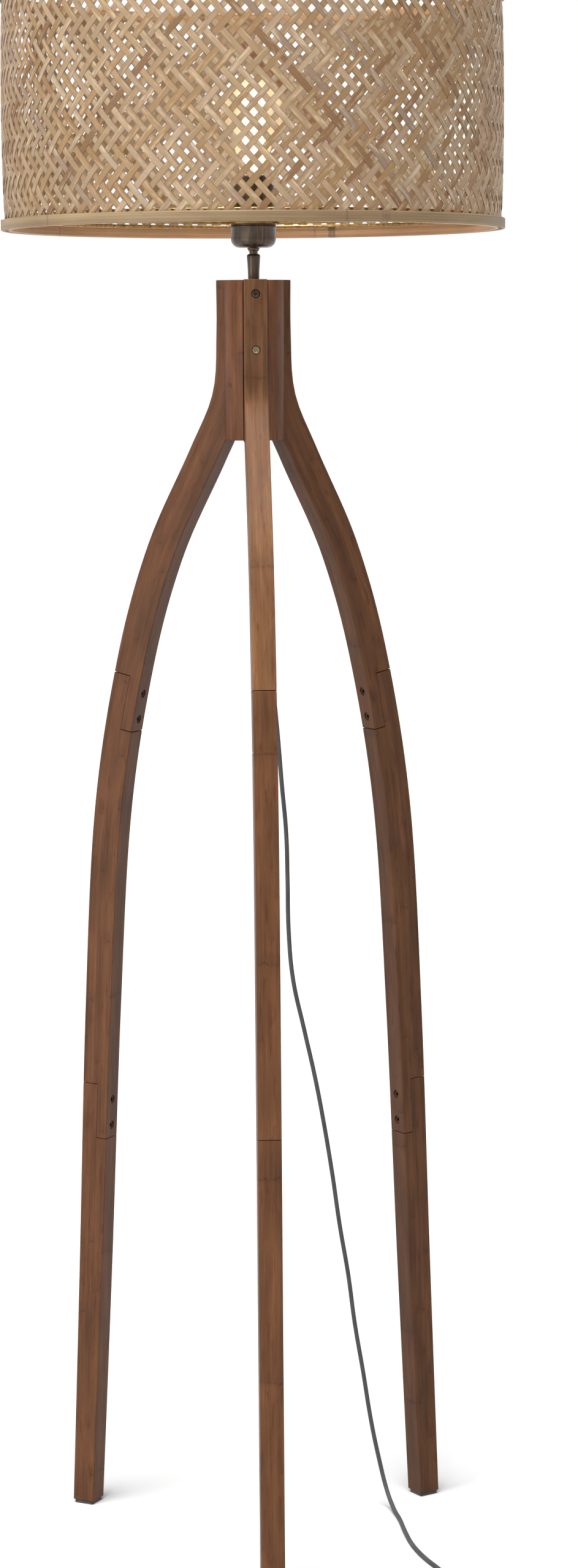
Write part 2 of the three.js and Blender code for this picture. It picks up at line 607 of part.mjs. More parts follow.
function flexTube(points, steps, sides = 8) {
  const path = new THREE.CatmullRomCurve3(points.map((p) => new THREE.Vector3(...p)), false, 'centripetal');
  const section = new THREE.Shape();
  for (let i = 0; i < sides; i++) {
    const angle = 2 * Math.PI * i / sides;
    const corner = [FLEX_RADIUS * Math.cos(angle), FLEX_RADIUS * Math.sin(angle)];
    if (i === 0) section.moveTo(...corner);
    else section.lineTo(...corner);
  }
  return new THREE.ExtrudeGeometry(section, { steps, extrudePath: path, bevelEnabled: false });
}
piece('flex_lead', flexTube(FLEX_LEAD, 78), flexGrey);
piece('flex_link', flexTube(FLEX_LINK, 10), flexGrey);
piece('flex_tail', flexTube(FLEX_TAIL, 4), flexGrey);

const coil = turned(arc(COIL_RADIUS, 0, 1, 0, 315, 7).map(([r, z]) => [
  COIL_RADIUS + (r - COIL_RADIUS) * COIL_BAND / 2, COIL_HEIGHT / 2 + z * COIL_HEIGHT / 2]), 32);
piece('flex_coil', coil, flexGrey).position.set(...COIL_CENTRE, 0);

// A rounded slab lying flat, centred on x and y.
function slab(length, width, corner, bottom, top) {
  const x = length / 2;
  const y = width / 2;
  const shape = new THREE.Shape();
  shape.moveTo(-x + corner, -y);
  shape.lineTo(x - corner, -y);
  shape.absarc(x - corner, -y + corner, corner, -Math.PI / 2, 0);
  shape.lineTo(x, y - corner);
  shape.absarc(x - corner, y - corner, corner, 0, Math.PI / 2);
  shape.lineTo(-x + corner, y);
  shape.absarc(-x + corner, y - corner, corner, Math.PI / 2, Math.PI);
  shape.lineTo(-x, -y + corner);
  shape.absarc(-x + corner, -y + corner, corner, Math.PI, Math.PI * 1.5);
  const settings = { depth: top - bottom, bevelEnabled: false, curveSegments: 6 };
  return new THREE.ExtrudeGeometry(shape, settings).translate(0, 0, bottom);
}

const switchPlastic = { color: 0x35322f, roughness: 0.5, metalness: 0 };
const buttonWell = BUTTON_RADIUS + SLIDE_GAP;
const coverBottom = SWITCH_BASE_HEIGHT + FIT_GAP;
const coverTop = coverBottom + SWITCH_COVER_HEIGHT;
const buttonBottom = coverTop + BUTTON_PROUD - SWITCH_COVER_HEIGHT - 1;
const wellBottom = buttonBottom - BUTTON_TRAVEL - 1;
const inletHeight = SWITCH_BASE_HEIGHT;
const switchWell = rod(
  new THREE.Vector3(0, 0, wellBottom), new THREE.Vector3(0, 0, coverTop + 10), buttonWell, TURNED_SIDES);
const inletHoles = [-1, 1].map((side) => rod(
  new THREE.Vector3(side * (SWITCH_LENGTH / 2 - INLET_DEPTH), 0, inletHeight),
  new THREE.Vector3(side * (SWITCH_LENGTH / 2 + 1), 0, inletHeight), INLET_RADIUS, 20));
const footSwitch = new THREE.Group();
footSwitch.position.set(...SWITCH_CENTRE, 0);
lamp.add(footSwitch);
piece('switch_base', cut(slab(SWITCH_LENGTH, SWITCH_WIDTH, SWITCH_CORNER, 0, SWITCH_BASE_HEIGHT),
  [switchWell, ...inletHoles]), switchPlastic, footSwitch);
piece('switch_cover', cut(slab(SWITCH_LENGTH, SWITCH_WIDTH, SWITCH_CORNER, coverBottom, coverTop),
  [switchWell, ...inletHoles]), switchPlastic, footSwitch);
piece('switch_button', turned([
  [0, buttonBottom], [BUTTON_RADIUS, buttonBottom], [BUTTON_RADIUS, coverTop + BUTTON_PROUD - 1],
  [BUTTON_RADIUS - 1.5, coverTop + BUTTON_PROUD], [0, coverTop + BUTTON_PROUD],
]), { color: 0x24211f, roughness: 0.5, metalness: 0 }, footSwitch);

// A flat two-pin plug lying on its side, with a tapered tail round the flex.
function plugBody() {
  const half = PLUG_WIDTH / 2;
  const tail = PLUG_TAIL_WIDTH / 2;
  const shape = new THREE.Shape();
  shape.moveTo(0, -half + PLUG_CORNER);
  shape.lineTo(PLUG_CORNER, -half);
  shape.lineTo(PLUG_SHOULDER, -half);
  shape.lineTo(PLUG_LENGTH, -tail);
  shape.lineTo(PLUG_LENGTH, tail);
  shape.lineTo(PLUG_SHOULDER, half);
  shape.lineTo(PLUG_CORNER, half);
  shape.lineTo(0, half - PLUG_CORNER);
  const body = new THREE.ExtrudeGeometry(shape, { depth: PLUG_THICKNESS, bevelEnabled: false });
  const pinHeight = PLUG_THICKNESS / 2;
  const pins = [-PIN_SPACING / 2, PIN_SPACING / 2].map((y) => rod(
    new THREE.Vector3(-PIN_LENGTH, y, pinHeight), new THREE.Vector3(1, y, pinHeight), PIN_RADIUS, 16));
  return join([body, ...pins]);
}
const plug = new THREE.Group();
plug.position.set(...PLUG_FACE, 0);
lamp.add(plug);
piece('plug_body', plugBody(), flexGrey, plug);

export default lamp;
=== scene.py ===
# A tripod floor lamp of stained bamboo with a woven drum shade, in metres, +Z up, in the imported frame.
# The legs, hub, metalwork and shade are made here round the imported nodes; hidden fittings keep their nodes.
import json
import math
import random

import bmesh
import bpy
from mathutils import Matrix, Vector
from mathutils.kdtree import KDTree

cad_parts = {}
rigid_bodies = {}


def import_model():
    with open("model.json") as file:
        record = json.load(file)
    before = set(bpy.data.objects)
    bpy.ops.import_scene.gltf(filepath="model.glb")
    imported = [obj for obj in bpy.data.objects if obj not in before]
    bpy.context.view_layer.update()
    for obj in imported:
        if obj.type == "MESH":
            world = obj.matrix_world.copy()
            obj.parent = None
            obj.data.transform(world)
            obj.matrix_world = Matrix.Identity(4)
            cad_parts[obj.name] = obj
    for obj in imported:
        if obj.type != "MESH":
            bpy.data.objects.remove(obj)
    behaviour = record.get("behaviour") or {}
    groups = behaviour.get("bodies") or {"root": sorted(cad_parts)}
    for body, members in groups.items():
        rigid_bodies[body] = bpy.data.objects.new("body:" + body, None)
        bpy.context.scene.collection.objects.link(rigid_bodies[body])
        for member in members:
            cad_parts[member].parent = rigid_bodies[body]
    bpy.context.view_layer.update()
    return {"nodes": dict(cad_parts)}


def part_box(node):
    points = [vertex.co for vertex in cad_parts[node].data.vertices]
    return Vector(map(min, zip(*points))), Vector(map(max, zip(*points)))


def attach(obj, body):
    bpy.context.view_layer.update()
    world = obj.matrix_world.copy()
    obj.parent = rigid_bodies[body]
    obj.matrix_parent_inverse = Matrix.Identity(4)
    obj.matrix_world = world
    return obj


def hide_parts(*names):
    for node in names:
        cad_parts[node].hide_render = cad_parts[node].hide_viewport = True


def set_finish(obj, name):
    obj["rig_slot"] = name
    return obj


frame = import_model()
scene = bpy.context.scene
scene.view_settings.view_transform = "Standard"

# ---- Camera ----
# A long lens at chest height, a little to the left of the lamp, looking slightly down.
view_heading = math.radians(3.47)
view_pitch = math.radians(7.0)
view_roll = math.radians(-0.30)
camera = bpy.data.objects.new("camera", bpy.data.cameras.new("camera"))
camera.data.lens = 80.6
camera.data.clip_end = 60
scene.collection.objects.link(camera)
scene.camera = camera
ahead = Vector((math.sin(view_heading) * math.cos(view_pitch),
                math.cos(view_heading) * math.cos(view_pitch), -math.sin(view_pitch)))
level = Vector((math.cos(view_heading), -math.sin(view_heading), 0))
overhead = level.cross(ahead)
right = level * math.cos(view_roll) + overhead * math.sin(view_roll)
turned_frame = Matrix((right, right.cross(ahead), -ahead)).transposed().to_4x4()
camera.matrix_world = Matrix.Translation((-0.1706, -3.3188, 1.1422)) @ turned_frame

# ---- Flex ----
# A round two-core flex with a dark grey sheath. It hangs from the bush under the hub, lies on the floor and
# runs into the foot switch. The rest is wound on itself between the switch and the plug, and tied.
flex_diameter = 0.0042
flex_lead_route = [
    (0, 0, 1.0303), (0, 0, 1.000), (0.003, 0.002, 0.950), (0.009, 0.006, 0.890), (0.0155, 0.011, 0.835),
    (0.021, 0.016, 0.780), (0.025, 0.019, 0.730), (0.029, 0.022, 0.684), (0.0303, 0.025, 0.636),
    (0.0313, 0.0285, 0.587), (0.0355, 0.0315, 0.539), (0.046, 0.034, 0.490), (0.057, 0.037, 0.440),
    (0.066, 0.0395, 0.391), (0.074, 0.0425, 0.341), (0.081, 0.0455, 0.291), (0.0895, 0.0485, 0.240),
    (0.096, 0.0515, 0.190), (0.1045, 0.0545, 0.139), (0.1125, 0.057, 0.088), (0.121, 0.059, 0.046),
    (0.128, 0.053, 0.0170), (0.1328, 0.036, 0.0050), (0.1364, 0.012, 0.0024), (0.1385, -0.026, 0.0021),
    (0.142, -0.064, 0.0021), (0.1495, -0.100, 0.0021), (0.160, -0.133, 0.0021), (0.168, -0.160, 0.0021),
    (0.1685, -0.180, 0.0021), (0.160, -0.197, 0.0028), (0.146, -0.206, 0.0054), (0.133, -0.208, 0.0078),
    (0.1216, -0.208, 0.008),
]
flex_link_route = [
    (0.0684, -0.208, 0.008), (0.058, -0.2084, 0.0076), (0.046, -0.2115, 0.0046), (0.034, -0.2155, 0.0026),
    (0.020, -0.2178, 0.0021), (0.004, -0.2184, 0.0021), (-0.014, -0.2183, 0.0021), (-0.031, -0.218, 0.0021),
]
flex_tail_route = [
    (-0.061, -0.218, 0.0094), (-0.070, -0.218, 0.0086), (-0.080, -0.218, 0.0072), (-0.0897, -0.218, 0.00685),
]
coil_centre = Vector((-0.046, -0.1907, 0))
coil_turns = [
    (0.0273, 0.0021), (0.0230, 0.0021), (0.0187, 0.0021), (0.02085, 0.0060), (0.02515, 0.0060),
    (0.0230, 0.0099), (0.0273, 0.0099), (0.0273, 0.0099),
]
points_per_turn = 20


def eased(share, start, end):
    part = min(1, max(0, (share - start) / (end - start)))
    return part * part * (3 - 2 * part)


def coil_point(turn):
    """A point on the winding, clockwise from its front. A strand climbs before its neighbour moves in."""
    lap = min(int(turn), len(coil_turns) - 2)
    radius, height = coil_turns[lap]
    next_radius, next_height = coil_turns[lap + 1]
    climbs = next_height > height
    share = eased(turn - lap, 0.42, 0.66) if climbs else eased(turn - lap, 0.70, 0.96)
    angle = -math.pi / 2 - 2 * math.pi * turn
    reach = radius + (next_radius - radius) * (share ** 1.6 if climbs else share)
    return coil_centre + Vector((reach * math.cos(angle), reach * math.sin(angle),
                                 height + (next_height - height) * share))


def flex_curve(name, route, widths=None, thickness=flex_diameter):
    curve = bpy.data.curves.new(name, "CURVE")
    curve.dimensions = "3D"
    curve.bevel_depth = thickness / 2
    curve.bevel_resolution = 5
    curve.resolution_u = 5
    curve.use_fill_caps = True
    line = curve.splines.new("BEZIER")
    line.bezier_points.add(len(route) - 1)
    for i, (knot, place) in enumerate(zip(line.bezier_points, route)):
        knot.co = place
        knot.handle_left_type = knot.handle_right_type = "AUTO"
        knot.radius = widths[i] if widths else 1
    piece = bpy.data.objects.new(name, curve)
    scene.collection.objects.link(piece)
    return piece


def finish_named(name, **values):
    """A new material whose surface has the given uniform values."""
    made = bpy.data.materials.new(name)
    made.use_nodes = True
    for socket, value in values.items():
        made.node_tree.nodes["Principled BSDF"].inputs[socket.replace("_", " ")].default_value = value
    return made


def node(finish, kind, settings=None, **inputs):
    """A shader node with its settings and inputs; an input is a value or another node's output."""
    made = finish.node_tree.nodes.new("ShaderNode" + kind)
    for key, value in (settings or {}).items():
        setattr(made, key, value)
    for key, value in inputs.items():
        socket = made.inputs[int(key[1:])] if key[0] == "i" and key[1:].isdigit() else made.inputs[key]
        if isinstance(value, bpy.types.NodeSocket):
            finish.node_tree.links.new(value, socket)
        else:
            socket.default_value = value
    return made


def sums(finish, operation, first, second=0.0, third=0.0):
    return node(finish, "Math", {"operation": operation}, i0=first, i1=second, i2=third).outputs[0]


def noise(finish, where, scale, detail=3.0, roughness=0.55, distortion=0.0):
    return node(finish, "TexNoise", None, Vector=where, Scale=scale, Detail=detail, Roughness=roughness,
                Distortion=distortion).outputs["Fac"]


def colour(code):
    """A linear colour from a six-digit paint code."""
    parts = [int(code[i:i + 2], 16) / 255 for i in (0, 2, 4)]
    return [p / 12.92 if p <= 0.04045 else ((p + 0.055) / 1.055) ** 2.4 for p in parts] + [1.0]


def ramp(finish, factor, stops):
    made = node(finish, "ValToRGB", None, Fac=factor)
    elements = made.color_ramp.elements
    while len(elements) < len(stops):
        elements.new(0.5)
    for element, (place, code) in zip(elements, stops):
        element.position = place
        element.color = colour(code)
    return made.outputs["Color"]


def dress(finish, base=None, roughness=None, height=None, depth=0.0003, strength=0.5):
    """Joins the colour, roughness and bump to the surface."""
    surface = finish.node_tree.nodes["Principled BSDF"]
    if base is not None:
        finish.node_tree.links.new(base, surface.inputs["Base Color"])
    if roughness is not None:
        finish.node_tree.links.new(roughness, surface.inputs["Roughness"])
    if height is not None:
        bump = node(finish, "Bump", None, Strength=strength, Distance=depth, Height=height)
        finish.node_tree.links.new(bump.outputs[0], surface.inputs["Normal"])
    return finish


def in_place(finish):
    return node(finish, "TexCoord").outputs["Object"]


def spread(finish, value, low, high, to_low, to_high):
    """A value carried from one span to another and held at its ends."""
    return node(finish, "MapRange", None, Value=value, i1=low, i2=high, i3=to_low, i4=to_high).outputs[0]


sheath = finish_named("flex_sheath", Roughness=0.62, Specular_IOR_Level=0.35)
dress(sheath,
      base=ramp(sheath, noise(sheath, in_place(sheath), 60), [(0.3, "353434"), (0.7, "424140")]),
      roughness=spread(sheath, noise(sheath, in_place(sheath), 900), 0.3, 0.7, 0.55, 0.7),
      height=noise(sheath, in_place(sheath), 2500), depth=0.00006, strength=0.4)

flex_lead = flex_curve("hanging_flex", flex_lead_route)
coil_steps = (len(coil_turns) - 1) * points_per_turn
coil_route = [coil_point(i / points_per_turn) for i in range(coil_steps + 1)]
flex_rest = flex_curve("wound_flex", flex_link_route + coil_route + flex_tail_route)
for piece in (flex_lead, flex_rest):
    piece.data.materials.append(sheath)
    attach(piece, "stand")
    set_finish(piece, "flex_grey")
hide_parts("flex_lead")
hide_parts("flex_link", "flex_coil", "flex_tail")


# ---- Floor and light ----
# A plain white floor in a pale room, one broad soft light high in front, and a weaker one to the left.
floor_mesh = bmesh.new()
bmesh.ops.create_grid(floor_mesh, x_segments=1, y_segments=1, size=30)
floor = bpy.data.objects.new("floor", bpy.data.meshes.new("floor"))
floor_mesh.to_mesh(floor.data)
floor_mesh.free()
scene.collection.objects.link(floor)
floor.data.materials.append(finish_named("white_floor", Base_Color=(0.50, 0.50, 0.50, 1), Roughness=0.9))

room = bpy.data.worlds.new("white_room")
room.use_nodes = True
room_nodes = room.node_tree.nodes
up = room_nodes.new("ShaderNodeSeparateXYZ")
room.node_tree.links.new(room_nodes.new("ShaderNodeTexCoord").outputs["Generated"], up.inputs[0])
fall = room_nodes.new("ShaderNodeMapRange")
fall.interpolation_type = "SMOOTHSTEP"
room.node_tree.links.new(up.outputs["Z"], fall.inputs["Value"])
for socket, value in (("From Min", 0.13), ("From Max", 0.45), ("To Min", 1.0), ("To Max", 0.35)):
    fall.inputs[socket].default_value = value
room.node_tree.links.new(fall.outputs[0], room_nodes["Background"].inputs["Strength"])
room_nodes["Background"].inputs["Color"].default_value = (1, 1, 1, 1)
scene.world = room

overhead_light = bpy.data.objects.new("overhead_light", bpy.data.lights.new("overhead_light", "SUN"))
overhead_light.data.energy = 6.6
overhead_light.data.angle = math.radians(38)
towards_overhead_light = Vector((-0.15, -0.31, 0.94))
overhead_light.rotation_euler = towards_overhead_light.to_track_quat("Z", "Y").to_euler()
scene.collection.objects.link(overhead_light)
left_light = bpy.data.objects.new("left_light", bpy.data.lights.new("left_light", "AREA"))
left_light.data.size = 1.6
left_light.data.energy = 24
left_light.location = (-2.3, -1.7, 0.9)
left_light.rotation_euler = Vector((-2.3, -1.7, 0.1)).to_track_quat("Z", "Y").to_euler()
scene.collection.objects.link(left_light)

# ---- Legs ----
# Three legs of laminated bamboo, each of three curved pieces that meet in two long lap joints.
# They are planed to a taper, stained brown and lacquered, with the long edges rounded over.
leg_azimuths = {"front": -90, "right": 30, "left": 150}
leg_reach_at_hub = 0.0345
leg_reach_at_foot = 0.206
leg_top = 1.2104
leg_foot = 0.0033
leg_width = 0.022
leg_inner_limit = 0.0148
leg_bow = [
    (0, 1), (0, 0.959), (0.026, 0.913), (0.175, 0.868), (0.443, 0.793),
    (0.645, 0.7025), (0.803, 0.5785), (0.88, 0.413), (0.938, 0.2065), (1, 0),
]
lap_heights = {"upper": 0.839, "lower": 0.431}
lap_length = 0.054
lap_share = 0.6
lap_gap = 0.00015
shoulder_gap = 0.0007
lap_screw_shares = (0.3, 0.78)
hub_screw_heights = (1.197, 1.145)
screw_head_radius = 0.00385
screw_head_height = 0.004
screw_sink = 0.001


def bow_line(per_span=120):
    """Points down the outer line of a leg in its own upright plane, with the length run so far."""
    knots = [Vector((leg_reach_at_hub + out * (leg_reach_at_foot - leg_reach_at_hub), 0, up * leg_top))
             for out, up in leg_bow]
    line = []
    for i in range(len(knots) - 1):
        a, b, c, d = (knots[min(max(k, 0), len(knots) - 1)] for k in (i - 1, i, i + 1, i + 2))
        for k in range(per_span if i < len(knots) - 2 else per_span + 1):
            t = k / per_span
            slope_b, slope_c = (c - a) / 2, (d - b) / 2
            line.append((2 * b - 2 * c + slope_b + slope_c) * t ** 3
                        + (-3 * b + 3 * c - 2 * slope_b - slope_c) * t ** 2 + slope_b * t + b)
    runs = [0.0]
    for first, second in zip(line, line[1:]):
        runs.append(runs[-1] + (second - first).length)
    return line, runs


outer_line, outer_runs = bow_line()
leg_length = outer_runs[-1]


def on_outer_line(run):
    """The point at a run down the outer line, and the direction from it into the leg."""
    k = max(1, min(len(outer_runs) - 1,
                   next((i for i, r in enumerate(outer_runs) if r >= run), len(outer_runs))))
    share = (run - outer_runs[k - 1]) / (outer_runs[k] - outer_runs[k - 1])
    point = outer_line[k - 1].lerp(outer_line[k], share)
    below = outer_line[min(k + 1, len(outer_line) - 1)]
    along = (below - outer_line[max(k - 2, 0)]).normalized()
    return point, Vector((along.z, 0, -along.x))


def leg_depth(height):
    return 0.0223 + 0.0075 * math.sin(min(1, max(0, height / 0.85)) * math.pi / 2)


def leg_point(run, across, offset=0.0):
    point, inward = on_outer_line(run)
    return point + inward * (leg_depth(point.z) * across + offset)


def run_at_height(height):
    return next(r for p, r in zip(outer_line, outer_runs) if p.z <= height)


outer_tree = KDTree(len(outer_line))
for i, point in enumerate(outer_line):
    outer_tree.insert(point, i)
outer_tree.balance()


def depth_and_run(place):
    """How deep below the outer line a place in the leg lies, and how far down the line."""
    low = max(0, min(len(outer_line) - 1, round(outer_tree.find((place.x, 0, place.z))[1])))
    inward = on_outer_line(outer_runs[low])[1]
    return (Vector((place.x, 0, place.z)) - outer_line[low]).dot(inward), outer_runs[low]


def edge_runs_along(edge):
    way = (edge.verts[1].co - edge.verts[0].co).normalized()
    return abs(way.z) > 0.5 and abs(way.y) < 0.2 and abs(depth_and_run(edge.verts[0].co)[0]
                                                         - depth_and_run(edge.verts[1].co)[0]) < 0.002


laps = {name: (run_at_height(h), run_at_height(h) + lap_length) for name, h in lap_heights.items()}


def lap_screw_places(lap):
    """Each screw's head, sunk into the inner face, and the direction that it points out of the leg."""
    start, end = laps[lap]
    places = []
    for share in lap_screw_shares:
        run = start + (end - start) * share
        inner = leg_point(run, 1)
        outward = on_outer_line(run)[1]
        places.append((inner - outward * screw_sink, outward))
    return places


screw_places = {"hub": [(Vector((leg_reach_at_hub - screw_sink, 0, z)), Vector((1, 0, 0)))
                        for z in hub_screw_heights],
                "upper": lap_screw_places("upper"), "lower": lap_screw_places("lower")}


def turned_from_z(direction):
    return direction.to_track_quat("Z", "Y").to_matrix().to_4x4()


def as_object(name, mesh, smooth_angle=35):
    """The bmesh as a finished object, smooth except over its sharp edges."""
    data = bpy.data.meshes.new(name)
    mesh.to_mesh(data)
    mesh.free()
    data.polygons.foreach_set("use_smooth", [True] * len(data.polygons))
    data.set_sharp_from_angle(angle=math.radians(smooth_angle))
    piece = bpy.data.objects.new(name, data)
    scene.collection.objects.link(piece)
    return piece


def cut_away(piece, cutter, smooth_angle=35):
    """The piece with the cutter's volume taken out of it."""
    cutter_object = as_object("cutter", cutter)
    boolean = piece.modifiers.new("cut", "BOOLEAN")
    boolean.operation = "DIFFERENCE"
    boolean.solver = "EXACT"
    boolean.object = cutter_object
    shaped = bpy.data.meshes.new_from_object(piece.evaluated_get(bpy.context.evaluated_depsgraph_get()))
    piece.modifiers.clear()
    piece.data = shaped
    bpy.data.objects.remove(cutter_object)
    shaped.polygons.foreach_set("use_smooth", [True] * len(shaped.polygons))
    shaped.set_sharp_from_angle(angle=math.radians(smooth_angle))
    return piece


def screw_cutter(places, bore=screw_head_radius + 0.0003, depth=screw_head_height + 0.0003):
    cutter = bmesh.new()
    for head, outward in places:
        middle = head + outward * (0.02 - depth) / 2
        bmesh.ops.create_cone(cutter, cap_ends=True, segments=32, radius1=bore, radius2=bore,
                              depth=0.02 + depth, matrix=Matrix.Translation(middle) @ turned_from_z(outward))
    return cutter


def leg_segment(name, above, below):
    """One piece of a leg in the plane of +X: a strip of cells drawn out to the leg's width."""
    start = laps[above][0] + shoulder_gap if above else 0
    inner_start = laps[above][1] + shoulder_gap if above else 0
    inner_end = laps[below][1] if below else leg_length + 0.012
    outer_end = laps[below][0] if below else inner_end
    marks = [start, inner_start, outer_end, inner_end]
    runs = [start]
    for first, second in zip(marks, marks[1:]):
        steps = max(1, round((second - first) / 0.012)) if second - first > 1e-6 else 0
        runs += [first + (second - first) * (k + 1) / steps for k in range(steps)]
    mesh = bmesh.new()
    count = len(runs) - 1
    bmesh.ops.create_grid(mesh, x_segments=count, y_segments=2, size=0.5)
    gone = []
    for face in mesh.faces:
        centre = face.calc_center_median()
        run = runs[round((centre.x + 0.5) * count - 0.5)] + 0.0001
        outer_cell = centre.y < 0
        if (below and run > outer_end and outer_cell) or (above and run < inner_start and not outer_cell):
            gone.append(face)
    for vert in mesh.verts:
        run = runs[round((vert.co.x + 0.5) * count)]
        row = round((vert.co.y + 0.5) * 2)
        middle_gap = lap_gap if below and run > outer_end - 1e-6 else -lap_gap
        past_foot = max(0, run - leg_length)
        vert.co = leg_point(min(run, leg_length), (0, lap_share, 1)[row], middle_gap if row == 1 else 0)
        vert.co += Vector((0.28, 0, -0.96)) * past_foot
    bmesh.ops.delete(mesh, geom=gone, context="FACES")
    for place, outside in (((leg_inner_limit, 0, 0), (-1, 0, 0)), ((0, 0, leg_foot), (0, 0, -1))):
        bmesh.ops.bisect_plane(mesh, geom=mesh.verts[:] + mesh.edges[:] + mesh.faces[:], plane_co=place,
                               plane_no=outside, clear_outer=True, dist=1e-6)
    drawn = bmesh.ops.extrude_face_region(mesh, geom=mesh.faces[:])["geom"]
    far_side = [g for g in drawn if isinstance(g, bmesh.types.BMVert)]
    bmesh.ops.translate(mesh, verts=mesh.verts, vec=(0, -leg_width / 2, 0))
    bmesh.ops.translate(mesh, verts=far_side, vec=(0, leg_width, 0))
    bmesh.ops.recalc_face_normals(mesh, faces=mesh.faces)

    def in_joint(edge):
        depth, run = depth_and_run((edge.verts[0].co + edge.verts[1].co) / 2)
        share = depth / leg_depth(on_outer_line(min(run, leg_length))[0].z)
        near_lap = any(a - 0.001 < run < b + 0.0015 for a, b in laps.values())
        crosswise = any(abs(run - mark) < 0.0008 for lap in laps.values() for mark in lap)
        return near_lap and (abs(share - lap_share) < 0.03 or (crosswise and not edge_runs_along(edge)))

    rounded = [e for e in mesh.edges if len(e.link_faces) == 2 and e.calc_face_angle() > 0.6
               and not in_joint(e)]
    bmesh.ops.bevel(mesh, geom=rounded, offset=0.0009, offset_type="OFFSET", segments=2, profile=0.5,
                    affect="EDGES", clamp_overlap=True, material=-1)
    return as_object(name, mesh, 20)


def stretched(finish, where, scale):
    """The place with each direction scaled, so that a pattern runs long along the grain."""
    return node(finish, "Mapping", None, Vector=where, Scale=scale).outputs[0]


def mixed(finish, factor, first, second):
    """Two colours mixed by a factor."""
    made = node(finish, "Mix", {"data_type": "RGBA", "blend_type": "MIX"})
    for socket, value in zip((made.inputs[0], made.inputs[6], made.inputs[7]), (factor, first, second)):
        if isinstance(value, bpy.types.NodeSocket):
            finish.node_tree.links.new(value, socket)
        else:
            socket.default_value = value
    return made.outputs[2]


def bamboo_finish(name, where, dark, middle, light, roughness=0.42, node_gap=0.19, strip=0.0072,
                  lit_from_run=None):
    """Stained laminated bamboo. The place given has its third direction along the grain, in metres."""
    made = finish_named(name, Specular_IOR_Level=0.13)
    place = where(made)
    parts = node(made, "SeparateXYZ", None, Vector=place).outputs
    strip_row = sums(made, "FLOOR", sums(made, "DIVIDE", sums(made, "ADD", parts[0], 0.0011), strip))
    side_row = sums(made, "FLOOR", sums(made, "DIVIDE", sums(made, "ADD", parts[1], 0.015), 0.03))
    strip_key = node(made, "CombineXYZ", None, X=strip_row, Y=side_row).outputs[0]
    strip_tint = node(made, "TexWhiteNoise", {"noise_dimensions": "3D"}, Vector=strip_key).outputs["Value"]
    fibres = noise(made, stretched(made, place, (1500, 1500, 26)), 1, 4, 0.65)
    streaks = noise(made, stretched(made, place, (330, 330, 8)), 1, 4, 0.62, 0.5)
    patches = noise(made, stretched(made, place, (70, 70, 14)), 1, 3, 0.55)
    pores = noise(made, stretched(made, place, (3200, 3200, 90)), 1, 1)
    flecks = noise(made, stretched(made, place, (260, 260, 38)), 1, 2, 0.5, 0.3)
    tone = sums(made, "MULTIPLY_ADD", streaks, 0.46, sums(made, "MULTIPLY", patches, 0.46))
    tone = sums(made, "ADD", tone, sums(made, "MULTIPLY_ADD", fibres, 0.24, -0.09))
    tone = sums(made, "ADD", tone, sums(made, "MULTIPLY_ADD", strip_tint, 0.09, -0.12))
    # Painted light and shade: above lit_from_run down the leg the tone is darker, for the lampshade's shadow
    # over the leg's top, and below it lighter, where the leg's face turns up into the light.
    if lit_from_run:
        painted_light_step = spread(made, sums(made, "ADD", parts[2], sums(made, "MULTIPLY", streaks, 0.012)),
                       lit_from_run, lit_from_run + 0.018, -0.10, 0.02)
        tone = sums(made, "ADD", tone, painted_light_step)
    base = ramp(made, tone, [(0.24, dark), (0.50, middle), (0.78, light)])
    # The joints of the cane: a brown line across each strip every so often, in a wider, slightly darker band.
    wander = sums(made, "MULTIPLY", noise(made, stretched(made, place, (170, 170, 20)), 1, 2), 0.010)
    joint_run = sums(made, "ADD", sums(made, "ADD", parts[2], wander),
                     sums(made, "MULTIPLY", strip_tint, 0.31))
    cycle = sums(made, "FRACT", sums(made, "DIVIDE", joint_run, node_gap))
    line = sums(made, "SUBTRACT", 1, spread(made, sums(made, "ABSOLUTE", sums(made, "SUBTRACT", cycle, 0.5)),
                                            0.0, 0.010, 0, 1))
    halo = sums(made, "SUBTRACT", 1,
                spread(made, sums(made, "ABSOLUTE", sums(made, "SUBTRACT", cycle, 0.48)),
                                            0.0, 0.055, 0, 1))
    broken = spread(made, noise(made, stretched(made, place, (420, 420, 60)), 1, 2), 0.4, 0.62, 0.15, 1)
    line = sums(made, "MULTIPLY", line, broken)
    shaded = mixed(made, sums(made, "MULTIPLY", halo, 0.30), base, colour(dark))
    shaded = mixed(made, sums(made, "MULTIPLY", line, 0.55), shaded,
                   [c * 0.45 for c in colour(dark)][:3] + [1])
    redder = [dark_part * share for dark_part, share in zip(colour(dark), (1.15, 0.72, 0.55, 1))]
    shaded = mixed(made, spread(made, flecks, 0.58, 0.72, 0, 0.6), shaded, redder)
    pore_marks = spread(made, pores, 0.62, 0.72, 0, 0.35)
    shaded = mixed(made, pore_marks, shaded, [c * 0.5 for c in colour(dark)][:3] + [1])
    height = sums(made, "ADD", sums(made, "MULTIPLY", fibres, 0.6), sums(made, "MULTIPLY", pores, 0.4))
    return dress(made, shaded, spread(made, fibres, 0.3, 0.7, roughness - 0.07, roughness + 0.10), height,
                 0.00012, 0.35)


def along_grain(finish):
    return node(finish, "Attribute", {"attribute_name": "grain"}).outputs["Vector"]
